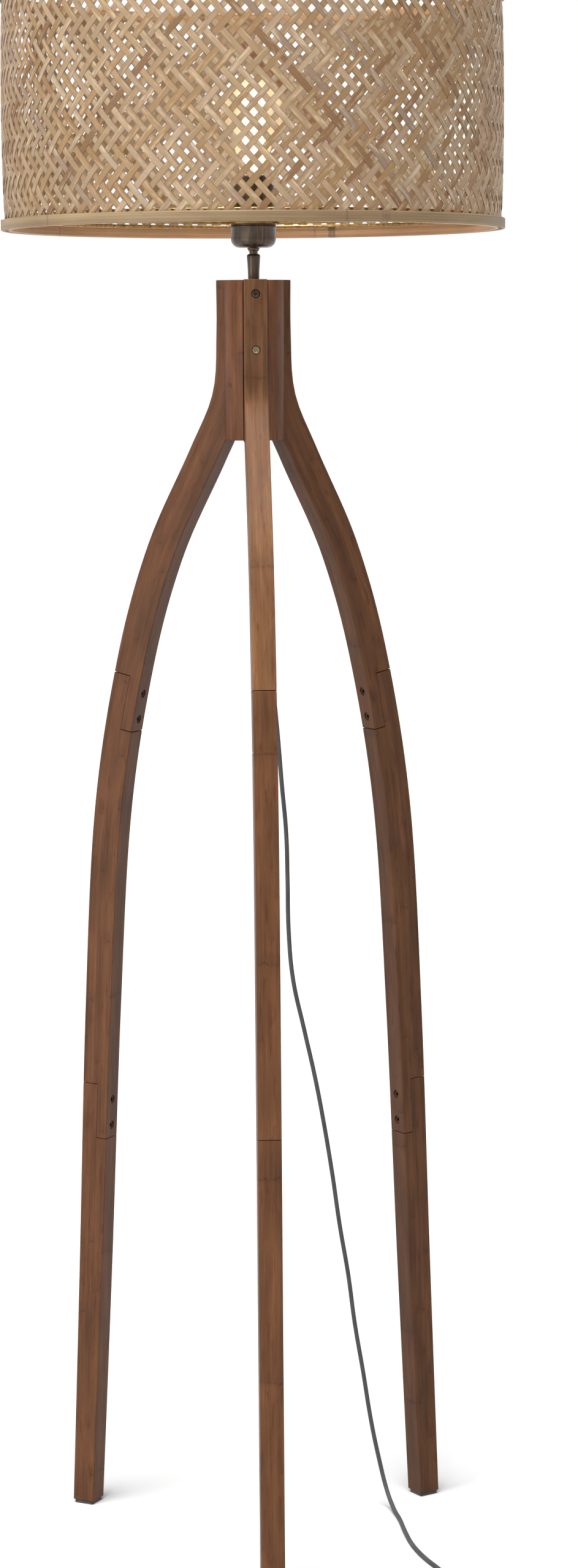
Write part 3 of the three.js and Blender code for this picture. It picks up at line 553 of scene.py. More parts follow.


# The right leg's copy is darker than the others: painted shade for the side turned away from the light.
leg_bamboo = {
    "front": bamboo_finish("front_leg_bamboo", along_grain, "402919", "5b3a24", "7c5538"),
    "left": bamboo_finish("left_leg_bamboo", along_grain, "402818", "5c3a24", "7c5437"),
    "right": bamboo_finish("right_leg_shaded_bamboo", along_grain, "3a2416", "543520", "724c33"),
}
# The front leg's upper piece has its own lighter copy of the bamboo: painted light on its upturned outer
# face.
front_upper_lit_bamboo = bamboo_finish("front_upper_lit_bamboo", along_grain, "472e1d", "6a482e", "946c46",
                                  lit_from_run=0.105)
leg_parts = {"upper": (None, "upper"), "middle": ("upper", "lower"), "lower": ("lower", None)}
leg_holes = {"upper": ("hub", "upper"), "middle": ("upper", "lower"), "lower": ("lower",)}
for part_index, (part, (above, below)) in enumerate(leg_parts.items()):
    pattern = leg_segment("leg_pattern", above, below)
    places = [p for group in leg_holes[part] for p in screw_places[group]]
    cut_away(pattern, screw_cutter(places), 20)
    for side_index, (side, azimuth) in enumerate(leg_azimuths.items()):
        data = pattern.data.copy()
        data.name = f"{side}_leg_{part}"
        grain = data.attributes.new("grain", "FLOAT_VECTOR", "POINT")
        shift = 1.7 * side_index + 0.61 * part_index
        values = []
        for vert in data.vertices:
            depth, run = depth_and_run(vert.co)
            values += [depth + 0.11 * part_index, vert.co.y + 0.03 * (7 * side_index + part_index),
                       run + shift]
        grain.data.foreach_set("vector", values)
        data.transform(Matrix.Rotation(math.radians(azimuth), 4, "Z"))
        data.materials.clear()
        data.materials.append(front_upper_lit_bamboo if (side, part) == ("front", "upper") else leg_bamboo[side])
        leg = bpy.data.objects.new(data.name, data)
        scene.collection.objects.link(leg)
        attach(leg, "stand")
        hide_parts(f"leg_{side}_{part}")
        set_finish(leg, "bamboo_brown")
    bpy.data.objects.remove(pattern)

# ---- Leg and hub screws ----
# Black oxide socket-head cap screws, two through the top of each leg into the hub and two in each lap joint.
# The heads sit a millimetre below the bamboo in plain counterbores.
screw_black = finish_named("screw_black", Metallic=0.45)
dress(screw_black, ramp(screw_black, noise(screw_black, in_place(screw_black), 700),
                        [(0.35, "2a1f18"), (0.7, "4c3b2f")]),
      spread(screw_black, noise(screw_black, in_place(screw_black), 1500), 0.3, 0.7, 0.42, 0.6),
      noise(screw_black, in_place(screw_black), 4000), 0.00005, 0.3)
# The lower hub screws get a brighter, more metallic copy of the steel: a painted highlight where the light
# catches their heads.
screw_catching_light = finish_named("screw_catching_light", Metallic=0.9)
dress(screw_catching_light, ramp(screw_catching_light, noise(screw_catching_light, in_place(screw_catching_light), 700),
                       [(0.3, "665743"), (0.7, "9a8a72")]),
      spread(screw_catching_light, noise(screw_catching_light, in_place(screw_catching_light), 1500), 0.3, 0.7, 0.2, 0.4),
      noise(screw_catching_light, in_place(screw_catching_light), 4000), 0.00005, 0.3)


def socket_screw(name, length):
    """A screw pointing down from its head's top at the origin."""
    mesh = bmesh.new()
    shank_radius = 0.0022
    edge_easing = 0.00055
    dish_floor_radius = 0.0019
    dish_mouth_radius = 0.0030
    socket_radius = 0.0021
    socket_depth = 0.0022
    bmesh.ops.create_cone(mesh, cap_ends=True, segments=36, radius1=screw_head_radius,
                          radius2=screw_head_radius, depth=screw_head_height,
                          matrix=Matrix.Translation((0, 0, -screw_head_height / 2)))
    top = next(f for f in mesh.faces if len(f.verts) == 36 and f.calc_center_median().z > -0.0001)
    under = next(f for f in mesh.faces if len(f.verts) == 36 and f.calc_center_median().z < -0.003)
    rim = list(top.edges)
    bmesh.ops.bevel(mesh, geom=rim, offset=edge_easing, offset_type="OFFSET", segments=3, profile=0.5,
                    affect="EDGES", material=-1)
    bmesh.ops.inset_individual(mesh, faces=[under], thickness=screw_head_radius - shank_radius)
    shank = bmesh.ops.extrude_discrete_faces(mesh, faces=[under])["faces"][0]
    bmesh.ops.translate(mesh, verts=shank.verts, vec=(0, 0, screw_head_height - length))
    bmesh.ops.recalc_face_normals(mesh, faces=mesh.faces)
    screw = as_object(name, mesh)
    dish = bmesh.new()
    bmesh.ops.create_cone(dish, cap_ends=True, segments=24, radius1=dish_floor_radius,
                          radius2=dish_mouth_radius, depth=0.0009, matrix=Matrix.Translation((0, 0, 0.0002)))
    screw = cut_away(screw, dish)
    socket = bmesh.new()
    bmesh.ops.create_cone(socket, cap_ends=True, segments=6, radius1=socket_radius, radius2=socket_radius,
                          depth=2 * socket_depth)
    return cut_away(screw, socket)


screw_lengths = {"hub": leg_reach_at_hub - screw_sink - 0.0075, "upper": 0.0236, "lower": 0.0221}
for group, places in screw_places.items():
    pattern = socket_screw("screw_pattern", screw_lengths[group])
    for side, azimuth in leg_azimuths.items():
        for i, (head, outward) in enumerate(places):
            name = f"{side}_{group}_lap_bolt_{i + 1}"
            stands_for = f"lap_screw_{side}_{group}_{i + 1}"
            if group == "hub":
                name = f"{side}_hub_bolt_{i + 1}"
                stands_for = f"hub_screw_{side}_{i + 1}"
            data = pattern.data.copy()
            data.transform(Matrix.Translation(head) @ turned_from_z(outward))
            data.transform(Matrix.Rotation(math.radians(azimuth), 4, "Z"))
            data.materials.clear()
            data.materials.append(screw_catching_light if (group, i) == ("hub", 1) else screw_black)
            bolt = bpy.data.objects.new(name, data)
            scene.collection.objects.link(bolt)
            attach(bolt, "stand")
            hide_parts(stands_for)
            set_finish(bolt, "screw_steel")
    bpy.data.objects.remove(pattern)

# ---- Foot pads ----
# A thin pad of dark pressed felt under each foot, so that the bamboo doesn't mark the floor.
# It is cut from sheet and glued on.
felt = finish_named("pad_felt", Roughness=0.95, Sheen_Weight=0.3)
dress(felt, ramp(felt, noise(felt, in_place(felt), 900), [(0.3, "241f1c"), (0.7, "3d3631")]),
      spread(felt, noise(felt, in_place(felt), 500), 0.3, 0.7, 0.88, 1.0),
      noise(felt, stretched(felt, in_place(felt), (1, 1, 3)), 2400), 0.0003, 0.8)
for side in leg_azimuths:
    frame["nodes"][f"foot_pad_{side}"].data.materials.clear()
    frame["nodes"][f"foot_pad_{side}"].data.materials.append(felt)

# ---- Hub ----
# A block of laminated bamboo, turned round and slotted for the three legs, with a small chamfer at each end.
hub_bottom = 1.061
hub_top = 1.210
hub_radius = 0.028
slot_floor = 0.0145
slot_width = leg_width + 0.0015
hub_mesh = bmesh.new()
bmesh.ops.create_cone(hub_mesh, cap_ends=True, segments=144, radius1=hub_radius, radius2=hub_radius,
                      depth=hub_top - hub_bottom,
                      matrix=Matrix.Translation((0, 0, (hub_top + hub_bottom) / 2)))
end_edges = [e for e in hub_mesh.edges if abs(e.verts[0].co.z - e.verts[1].co.z) < 1e-6]
bmesh.ops.bevel(hub_mesh, geom=end_edges, offset=0.0012, offset_type="OFFSET", segments=3, profile=0.5,
                affect="EDGES", material=-1)
hub = as_object("slotted_hub", hub_mesh, 20)
slots = bmesh.new()
for azimuth in leg_azimuths.values():
    box = bmesh.ops.create_cube(slots, size=1)["verts"]
    bmesh.ops.scale(slots, verts=box, vec=(0.03, slot_width, 0.2))
    bmesh.ops.translate(slots, verts=box, vec=(slot_floor + 0.015, 0, (hub_top + hub_bottom) / 2))
    bmesh.ops.rotate(slots, verts=box, matrix=Matrix.Rotation(math.radians(azimuth), 3, "Z"))
bmesh.ops.create_cone(slots, cap_ends=True, segments=32, radius1=0.0042, radius2=0.0042, depth=0.2,
                      matrix=Matrix.Translation((0, 0, (hub_top + hub_bottom) / 2)))
cut_away(hub, slots)
eased_hub = bmesh.new()
eased_hub.from_mesh(hub.data)
slot_edges = [e for e in eased_hub.edges if abs(e.verts[0].co.z - e.verts[1].co.z) > 0.02
              and len(e.link_faces) == 2 and e.calc_face_angle() > 0.7 and e.verts[0].co.xy.length > 0.026]
bmesh.ops.bevel(eased_hub, geom=slot_edges, offset=0.0009, offset_type="OFFSET", segments=2, profile=0.5,
                affect="EDGES", clamp_overlap=True, material=-1)
eased_hub.to_mesh(hub.data)
eased_hub.free()
hub.data.set_sharp_from_angle(angle=math.radians(20))


def hub_grain(finish):
    """The block's strips stand upright, a few millimetres thick and turned a little from the slots."""
    return node(finish, "Mapping", None, Vector=in_place(finish), Rotation=(0, 0, math.radians(24)),
                Location=(0.3, 0.1, 0.35)).outputs[0]


hub.data.materials.clear()
hub.data.materials.append(bamboo_finish("hub_bamboo", hub_grain, "432919", "643f29", "8a6042", 0.45, 0.31))
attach(hub, "stand")
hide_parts("hub_core")
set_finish(hub, "bamboo_brown")

# ---- Neck, collar and lampholder ----
# Spun brass parts with a dark bronze finish, brushed upwards, on a threaded tube through the hub.
# The cap and the holder's body screw together round the shade's carrier, and a ring holds the carrier down.


def round_grain(finish, about=0.021):
    """The place unrolled round the lamp's axis: the way round, out from the axis, and up, in metres."""
    parts = node(finish, "SeparateXYZ", None, Vector=in_place(finish)).outputs
    radius = sums(finish, "SQRT", sums(finish, "MULTIPLY_ADD", parts[0], parts[0],
                                       sums(finish, "MULTIPLY", parts[1], parts[1])))
    way = sums(finish, "MULTIPLY", sums(finish, "ARCTAN2", parts[1], parts[0]), about)
    return node(finish, "CombineXYZ", None, X=way, Y=radius, Z=parts[2]).outputs[0]


bronze = finish_named("dark_bronze", Metallic=0.55, Coat_Weight=0.15, Coat_Roughness=0.25)
unrolled = round_grain(bronze)
brushed = noise(bronze, stretched(bronze, unrolled, (1400, 300, 18)), 1, 4, 0.7)
worn = noise(bronze, stretched(bronze, unrolled, (160, 160, 35)), 1, 3, 0.5)
bronze_tone = sums(bronze, "MULTIPLY_ADD", brushed, 0.6, sums(bronze, "MULTIPLY", worn, 0.4))
dress(bronze, ramp(bronze, bronze_tone, [(0.36, "231911"), (0.5, "3f3023"), (0.64, "695540")]),
      spread(bronze, brushed, 0.3, 0.7, 0.26, 0.46), brushed, 0.00008, 0.4)

brass = finish_named("warm_brass", Metallic=0.9)
brass_spots = noise(brass, stretched(brass, in_place(brass), (300, 300, 120)), 1, 3)
dress(brass, ramp(brass, brass_spots, [(0.3, "6f5530"), (0.7, "a07f4b")]),
      spread(brass, noise(brass, in_place(brass), 900), 0.3, 0.7, 0.22, 0.42),
      noise(brass, in_place(brass), 2500), 0.00006, 0.3)


def arc(centre, height, radius, start, end, steps):
    """Points of a rounded corner in a turned outline, from one angle to another."""
    angles = [math.radians(start + (end - start) * k / steps) for k in range(steps + 1)]
    return [(centre + radius * math.cos(a), height + radius * math.sin(a)) for a in angles]


def turned(name, outline, finish, body, part_slot, *stands_for, steps=96, edge=0.0003, smooth_angle=35):
    """A closed outline of radius and height, spun round the lamp's axis, with its sharp rims eased."""
    mesh = bmesh.new()
    corners = [mesh.verts.new((r, 0, z)) for r, z in outline]
    sides = [mesh.edges.new(pair) for pair in zip(corners, corners[1:] + corners[:1])]
    bmesh.ops.spin(mesh, geom=corners + sides, axis=(0, 0, 1), angle=2 * math.pi, steps=steps,
                   use_merge=True)
    bmesh.ops.remove_doubles(mesh, verts=mesh.verts, dist=1e-7)
    bmesh.ops.dissolve_degenerate(mesh, edges=mesh.edges, dist=1e-8)
    bmesh.ops.recalc_face_normals(mesh, faces=mesh.faces)
    if edge:
        rims = [e for e in mesh.edges if len(e.link_faces) == 2 and e.calc_face_angle() > 0.7]
        bmesh.ops.bevel(mesh, geom=rims, offset=edge, offset_type="OFFSET", segments=2, profile=0.5,
                        affect="EDGES", clamp_overlap=True, material=-1)
    piece = as_object(name, mesh, smooth_angle)
    piece.data.materials.append(finish)
    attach(piece, body)
    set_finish(piece, part_slot)
    if stands_for:
        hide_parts(*stands_for)
    return piece


tube_hole = 0.0042
neck_bottom = 1.2103
neck_top = 1.2343
turned("neck_stem", [(tube_hole, neck_bottom), (0.0056, neck_bottom), (0.00525, neck_bottom + 0.0011),
                     (0.00545, neck_bottom + 0.009), (0.0060, neck_bottom + 0.018)]
       + arc(0.0041, neck_top - 0.0022, 0.0022, 0, 84, 6) + [(tube_hole, neck_top)],
       bronze, "stand", "bronze", "neck_post", edge=0.00015)
collar_bottom = 1.2369
turned("cap_collar", [(tube_hole, collar_bottom), (0.0046, collar_bottom), (0.0057, collar_bottom + 0.0022),
                      (0.0057, collar_bottom + 0.003), (tube_hole, collar_bottom + 0.003)],
       bronze, "stand", "bronze", "neck_collar", edge=0.00015)

cap_bottom = 1.2402
cap_rim = 1.2602
cap_radius = 0.021
cap_corner = 0.008
cap_wall = 0.0012
turned("spun_cap", [(tube_hole, cap_bottom)]
       + arc(cap_radius - cap_corner, cap_bottom + cap_corner, cap_corner, -90, 0, 12)
       + [(cap_radius, cap_rim - 0.0022), (cap_radius + 0.0004, cap_rim - 0.0016),
          (cap_radius + 0.0004, cap_rim),
          (cap_radius - cap_wall, cap_rim)]
       + arc(cap_radius - cap_corner, cap_bottom + cap_corner, cap_corner - cap_wall, 0, -90, 12)
       + [(tube_hole, cap_bottom + cap_wall)],
       bronze, "stand", "bronze", "holder_cap", edge=0.0002)

holder_radius = 0.0195
holder_top = 1.3062
holder_wall = 0.0015
shell_outline = [
    (holder_radius - holder_wall, cap_bottom + 0.010), (holder_radius, cap_bottom + 0.010),
    (holder_radius, cap_rim + 0.0003), (cap_radius, cap_rim + 0.0003), (cap_radius, cap_rim + 0.0013),
    (holder_radius, cap_rim + 0.0013), (holder_radius, 1.2712),
]
for k in range(12):
    ridge = 1.2716 + 0.0013 * k
    shell_outline += [(holder_radius - 0.00035, ridge), (holder_radius - 0.00035, ridge + 0.0005),
                      (holder_radius, ridge + 0.0008), (holder_radius, ridge + 0.0010)]
shell_outline += [(holder_radius, holder_top - 0.001), (holder_radius - 0.001, holder_top),
                  (0.0146, holder_top),
                  (0.0146, holder_top - holder_wall),
                  (holder_radius - holder_wall, holder_top - holder_wall)]
turned("holder_body", shell_outline, bronze, "stand", "bronze", "holder_shell", edge=0)

ring_bottom = 1.2636
ring_height = 0.007
ring_pattern = turned("shade_ring_nut", [
    (holder_radius + 0.0003, ring_bottom), (0.0246, ring_bottom), (0.025, ring_bottom + 0.0004),
    (0.025, ring_bottom + ring_height - 0.0012), (0.0238, ring_bottom + ring_height),
    (holder_radius + 0.0003, ring_bottom + ring_height)], bronze, "shade_ring_nut", "bronze", "shade_ring",
    edge=0)
grips = bmesh.new()
for k in range(30):
    turn = Matrix.Rotation(2 * math.pi * k / 30, 4, "Z")
    bmesh.ops.create_cone(grips, cap_ends=True, segments=10, radius1=0.0009, radius2=0.0009, depth=0.02,
                          matrix=turn @ Matrix.Translation((0.0253, 0, ring_bottom + ring_height / 2)))
cut_away(ring_pattern, grips)

ceramic = finish_named("insert_ceramic", Specular_IOR_Level=0.55)
dress(ceramic, ramp(ceramic, noise(ceramic, in_place(ceramic), 220), [(0.3, "d2ccbf"), (0.7, "e8e3d8")]),
      spread(ceramic, noise(ceramic, in_place(ceramic), 700), 0.3, 0.7, 0.3, 0.45),
      noise(ceramic, in_place(ceramic), 1800), 0.00008, 0.3)
for inner_name, inner_finish in (("threaded_tube", bronze), ("holder_locknut", brass), ("hub_nut", brass),
                                 ("centre_contact", brass), ("screw_shell", brass),
                                 ("holder_insert", ceramic)):
    frame["nodes"][inner_name].data.materials.clear()
    frame["nodes"][inner_name].data.materials.append(inner_finish)

# ---- Cord bush ----
# A moulded strain relief, screwed onto the end of the threaded tube under the hub and tapered down the flex.
bush_rubber = finish_named("bush_rubber", Specular_IOR_Level=0.35)
dress(bush_rubber, ramp(bush_rubber, noise(bush_rubber, in_place(bush_rubber), 300),
                        [(0.3, "2a2827"), (0.7, "3b3836")]),
      spread(bush_rubber, noise(bush_rubber, in_place(bush_rubber), 900), 0.3, 0.7, 0.5, 0.68),
      noise(bush_rubber, in_place(bush_rubber), 2600), 0.00008, 0.4)
bush_outline = [(0.0022, 1.0306), (0.0028, 1.0306)]
for k in range(4):
    groove = 1.0318 + 0.0034 * k
    width = 0.0030 + 0.00035 * k
    bush_outline += [(width, groove), (width + 0.00015, groove + 0.0016),
                     (width - 0.00045, groove + 0.0020), (width - 0.00045, groove + 0.0030)]
bush_outline += [(0.0050, 1.0472), (0.0050, 1.0530), (0.0042, 1.0530), (0.0042, 1.0503), (0.0022, 1.0503)]
turned("tapered_bush", bush_outline, bush_rubber, "stand", "bush_plastic", "cord_bush", steps=40, edge=0)

# ---- Bulb ----
# A round frosted bulb with a threaded metal cap. It is lit, warm white, and glows through the weave.
bulb_bottom = 1.2782
bulb_cap_top = 1.3022
bulb_top = 1.3962
bulb_radius = 0.030
globe_centre = bulb_top - bulb_radius
cap_metal = finish_named("bulb_cap_metal", Metallic=0.9)
dress(cap_metal,
      ramp(cap_metal, noise(cap_metal, in_place(cap_metal), 400), [(0.3, "8f8b83"), (0.7, "c2beb4")]),
      spread(cap_metal, noise(cap_metal, in_place(cap_metal), 1200), 0.3, 0.7, 0.22, 0.4),
      noise(cap_metal, in_place(cap_metal), 3000), 0.00005, 0.3)
cap_outline = [(0, bulb_bottom), (0.003, bulb_bottom), (0.0045, bulb_bottom + 0.0015),
               (0.0105, bulb_bottom + 0.0045), (0.0126, bulb_bottom + 0.006)]
for k in range(5):
    crest = bulb_bottom + 0.0068 + 0.0031 * k
    cap_outline += [(0.0130, crest), (0.0130, crest + 0.0007), (0.0122, crest + 0.0017),
                    (0.0122, crest + 0.0021)]
cap_outline += [(0.0127, bulb_cap_top - 0.0010), (0.0127, bulb_cap_top), (0, bulb_cap_top)]
turned("threaded_bulb_cap", cap_outline, cap_metal, "bulb", "bulb_cap_metal", "bulb_cap", steps=64, edge=0,
       smooth_angle=60)

frosted = finish_named("frosted_glass", Transmission_Weight=0.92, IOR=1.2)
dress(frosted, ramp(frosted, noise(frosted, in_place(frosted), 60), [(0.3, "fff3dc"), (0.7, "fffaf0")]),
      spread(frosted, noise(frosted, in_place(frosted), 1500), 0.3, 0.7, 0.30, 0.38))
glow = finish_named("glowing_core", Roughness=0.6, Emission_Strength=10.0,
                    Emission_Color=(1.0, 0.84, 0.58, 1))
dress(glow, ramp(glow, noise(glow, in_place(glow), 300), [(0.3, "f0d9a8"), (0.7, "fdf0d2")]))
turned("glowing_column", [(0, 1.3120)] + arc(0.0045, 1.3165, 0.0045, -90, 0, 6)
       + [(0.0090, 1.3300)] + arc(0.0060, 1.3820, 0.0045, 0, 90, 6) + [(0, 1.3865)],
       glow, "bulb", "bulb_glass", steps=40, edge=0, smooth_angle=60)


def globe_outline(inset, steps=22):
    ball = arc(0, globe_centre, bulb_radius - inset, 90, -34, steps)
    ball[0] = (0, globe_centre + bulb_radius - inset)
    base = 0.0124 - inset
    return ball + [(0.0195 - inset, 1.3385), (0.0158 - inset, 1.3275), (0.0136 - inset, 1.3180),
                   (base, 1.3090), (base, bulb_cap_top + 0.0003)]


turned("glass_globe", globe_outline(0) + globe_outline(0.0009)[::-1], frosted, "bulb", "bulb_glass",
       "bulb_glass",
       steps=64, edge=0, smooth_angle=60)

# ---- Shade carrier ----
# Brazed brass wire: a washer round the lampholder, three arms that crank up, and a hoop inside the rim.
arm_height = 1.26255
carrier_hoop_radius = 0.2241
carrier_hoop_height = 1.2674
wire_radius = 0.0015


def tube_along(mesh, path, radii, sides=16, cap=True):
    """Rings of points drawn from one to the next along a path, closed at both ends."""
    ring = None
    for k, (place, radius) in enumerate(zip(path, radii)):
        before = Vector(path[max(k - 1, 0)])
        after = Vector(path[min(k + 1, len(path) - 1)])
        facing = Matrix.Translation(place) @ (after - before).to_track_quat("Z", "Y").to_matrix().to_4x4()
        circle = bmesh.ops.create_circle(mesh, cap_ends=False, segments=sides, radius=radius, matrix=facing)
        edges = list({e for v in circle["verts"] for e in v.link_edges})
        if ring:
            bmesh.ops.bridge_loops(mesh, edges=ring + edges)
        elif cap:
            bmesh.ops.contextual_create(mesh, geom=edges)
        ring = edges
    if cap:
        bmesh.ops.contextual_create(mesh, geom=ring)


carrier_mesh = bmesh.new()
washer = [(holder_radius + 0.0003, 1.2618), (0.0275, 1.2618), (0.0275, 1.2633),
          (holder_radius + 0.0003, 1.2633)]
washer_points = [carrier_mesh.verts.new((r, 0, z)) for r, z in washer]
washer_sides = [carrier_mesh.edges.new(pair) for pair in zip(washer_points,
                                                             washer_points[1:] + washer_points[:1])]
bmesh.ops.spin(carrier_mesh, geom=washer_points + washer_sides, axis=(0, 0, 1), angle=2 * math.pi, steps=64,
               use_merge=True)
wire_ring = bmesh.ops.create_circle(
    carrier_mesh, cap_ends=False, segments=12, radius=wire_radius,
    matrix=Matrix.Translation((carrier_hoop_radius, 0, carrier_hoop_height)) @ Matrix.Rotation(math.pi / 2,
                                                                                               4, "X"))
ring_edges = list({e for v in wire_ring["verts"] for e in v.link_edges})
bmesh.ops.spin(carrier_mesh, geom=wire_ring["verts"] + ring_edges, axis=(0, 0, 1), angle=2 * math.pi,
               steps=144,
               use_merge=True)
arm_path = [(0.0262, 0, arm_height), (0.19, 0, arm_height), (0.2065, 0, arm_height),
            (0.2092, 0, arm_height + 0.0004), (0.2112, 0, arm_height + 0.0010),
            (0.2180, 0, arm_height + 0.0030),
            (carrier_hoop_radius - 0.0006, 0, carrier_hoop_height - 0.0004)]
for k in range(3):
    turn = Matrix.Rotation(math.radians(-33.5 + 120 * k), 4, "Z")
    tube_along(carrier_mesh, [turn @ Vector(p) for p in arm_path], [wire_radius - 0.00005] * len(arm_path),
               12)
bmesh.ops.recalc_face_normals(carrier_mesh, faces=carrier_mesh.faces)
carrier = as_object("wire_carrier", carrier_mesh)
carrier.data.materials.append(brass)
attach(carrier, "shade")
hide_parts("shade_carrier")
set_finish(carrier, "brass")

# ---- Shade rims ----
# Each rim is two hoops of split bamboo, one outside the weave and one inside, which pinch it between them.
# The inner hoops are paler and oranger, partly in their own colour and partly with painted light from the
# bulb. Flat cane ties bind each pair at three places.
shade_radius = 0.235
rim_height = 0.0097
rim_thickness = 0.003
shade_bottom = 1.2562
shade_top = 1.4762
inner_rim_radius = 0.2289


def hoop_cane(name, dark, middle, light):
    made = finish_named(name, Specular_IOR_Level=0.4, Coat_Weight=0.08, Coat_Roughness=0.35)
    place = round_grain(made, 0.235)
    fibres = noise(made, stretched(made, place, (9, 1600, 1600)), 1, 4, 0.65)
    streaks = noise(made, stretched(made, place, (2.2, 260, 420)), 1, 3, 0.6)
    blotches = noise(made, stretched(made, place, (12, 40, 60)), 1, 3)
    tone = sums(made, "MULTIPLY_ADD", streaks, 0.5, sums(made, "MULTIPLY", blotches, 0.3))
    tone = sums(made, "MULTIPLY_ADD", fibres, 0.25, tone)
    base = ramp(made, tone, [(0.34, dark), (0.53, middle), (0.72, light)])
    along = node(made, "SeparateXYZ", None, Vector=place).outputs[0]
    cycle = sums(made, "FRACT", sums(made, "DIVIDE", sums(made, "ADD", along, 1.035), 0.295))
    joint = sums(made, "SUBTRACT", 1,
                 spread(made, sums(made, "ABSOLUTE", sums(made, "SUBTRACT", cycle, 0.5)),
                                             0, 0.007, 0, 1))
    base = mixed(made, sums(made, "MULTIPLY", joint, 0.6), base, colour(dark))
    return dress(made, base, spread(made, fibres, 0.3, 0.7, 0.42, 0.6), fibres, 0.00012, 0.45)


rim_cane = hoop_cane("rim_cane", "5c462e", "7c6648", "988363")
# lit_cane carries painted light from the bulb, and is used for the inner hoops.
lit_cane = hoop_cane("lit_cane", "7a573a", "a47c55", "c79f73")
tie_cane = hoop_cane("tie_cane", "543d28", "796046", "9c8465")


def rim_outline(outer, bottom):
    inner = outer - rim_thickness
    top = bottom + rim_height
    edge = 0.0011
    return (arc(outer - edge, bottom + edge, edge, -90, 0, 4) + arc(outer - edge, top - edge, edge, 0, 90, 4)
            + arc(inner + edge, top - edge, edge, 90, 180, 4) + arc(inner + edge, bottom + edge, edge, 180,
                                                                    270, 4))


for level_name, rim_bottom in (("bottom", shade_bottom), ("top", shade_top - rim_height)):
    for ring_name, outer in (("outer", shade_radius), ("inner", inner_rim_radius)):
        cane = rim_cane if ring_name == "outer" else lit_cane
        turned(f"{level_name}_hoop_{ring_name}", rim_outline(outer, rim_bottom), cane, "shade",
               "shade_bamboo", f"{level_name}_rim_{ring_name}", steps=160, edge=0)

tie_azimuths = {"bottom": (-63.1, 66.9, 184.0), "top": (-20.0, 100.0, 220.0)}
for level_name, rim_bottom in (("bottom", shade_bottom), ("top", shade_top - rim_height)):
    for tie_index, azimuth in enumerate(tie_azimuths[level_name]):
        tie_mesh = bmesh.new()
        for wrap in (-0.0019, 0.0019):
            band = bmesh.ops.create_cube(tie_mesh, size=1)["verts"]
            bmesh.ops.scale(tie_mesh, verts=band, vec=(0.0096, 0.0034, rim_height + 0.0002))
            bmesh.ops.translate(tie_mesh, verts=band, vec=(0.2305, wrap, rim_bottom + rim_height / 2))
        open_sides = [f for f in tie_mesh.faces if abs(f.normal.y) > 0.9]
        bmesh.ops.delete(tie_mesh, geom=open_sides, context="FACES")
        bmesh.ops.recalc_face_normals(tie_mesh, faces=tie_mesh.faces)
        bmesh.ops.solidify(tie_mesh, geom=tie_mesh.faces[:], thickness=0.0003)
        corners = [e for e in tie_mesh.edges if len(e.link_faces) == 2 and e.calc_face_angle() > 0.7]
        bmesh.ops.bevel(tie_mesh, geom=corners, offset=0.00012, offset_type="OFFSET", segments=2,
                        profile=0.5,
                        affect="EDGES", clamp_overlap=True, material=-1)
        bmesh.ops.rotate(tie_mesh, verts=tie_mesh.verts,
                         matrix=Matrix.Rotation(math.radians(azimuth), 3, "Z"))
        tie = as_object(f"{level_name}_rim_tie_{tie_index + 1}", tie_mesh)
        tie.data.materials.append(tie_cane)
        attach(tie, "shade")
        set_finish(tie, "shade_bamboo")

# ---- Weave ----
# The drum's wall is plaited from flat strips of split bamboo, a hundred leaning each way. Every strip goes
# over two and under two, so the floats stand in rows, and light shows through the small diamond gaps.
strips_each_way = 100
strip_width = 0.0059
strip_thickness = 0.0005
weave_radius = 0.2307
weave_bulge = 0.0026
weave_bottom = shade_bottom + 0.0006
weave_top = shade_top - 0.0006
crossing_rise = 0.00815
lean_angle = math.radians(47.8)
random.seed(31)


def weave_cane():
    made = finish_named("weave_cane", Specular_IOR_Level=0.38)
    place = node(made, "UVMap", {"uv_map": "strip"}).outputs[0]
    tint = node(made, "Attribute", {"attribute_name": "strip_tint"}).outputs["Color"]
    fibres = noise(made, stretched(made, place, (14, 10, 1)), 1, 4, 0.65)
    blotches = noise(made, stretched(made, place, (45, 1.4, 1)), 1, 3, 0.6)
    across = sums(made, "FRACT", node(made, "SeparateXYZ", None, Vector=place).outputs[1])
    # Painted shadow: each strip darkens towards its edges, where its neighbours shade it.
    painted_edge_shadow = spread(made, sums(made, "ABSOLUTE", sums(made, "SUBTRACT", across, 0.5)), 0.33, 0.48, 0,
                       0.55)
    rubbed = noise(made, stretched(made, in_place(made), (1, 1, 1)), 130, 2, 0.5)
    shaded = mixed(made, spread(made, fibres, 0.32, 0.62, 0.42, 0.0), tint, colour("6d4c2d"))
    shaded = mixed(made, spread(made, blotches, 0.52, 0.75, 0.0, 0.4), shaded, colour("e2cfae"))
    shaded = mixed(made, spread(made, rubbed, 0.55, 0.8, 0.0, 0.35), shaded, colour("7a5430"))
    shaded = mixed(made, painted_edge_shadow, shaded, colour("5d4229"))
    return dress(made, shaded, spread(made, fibres, 0.3, 0.7, 0.45, 0.65), fibres, 0.00015, 0.5)


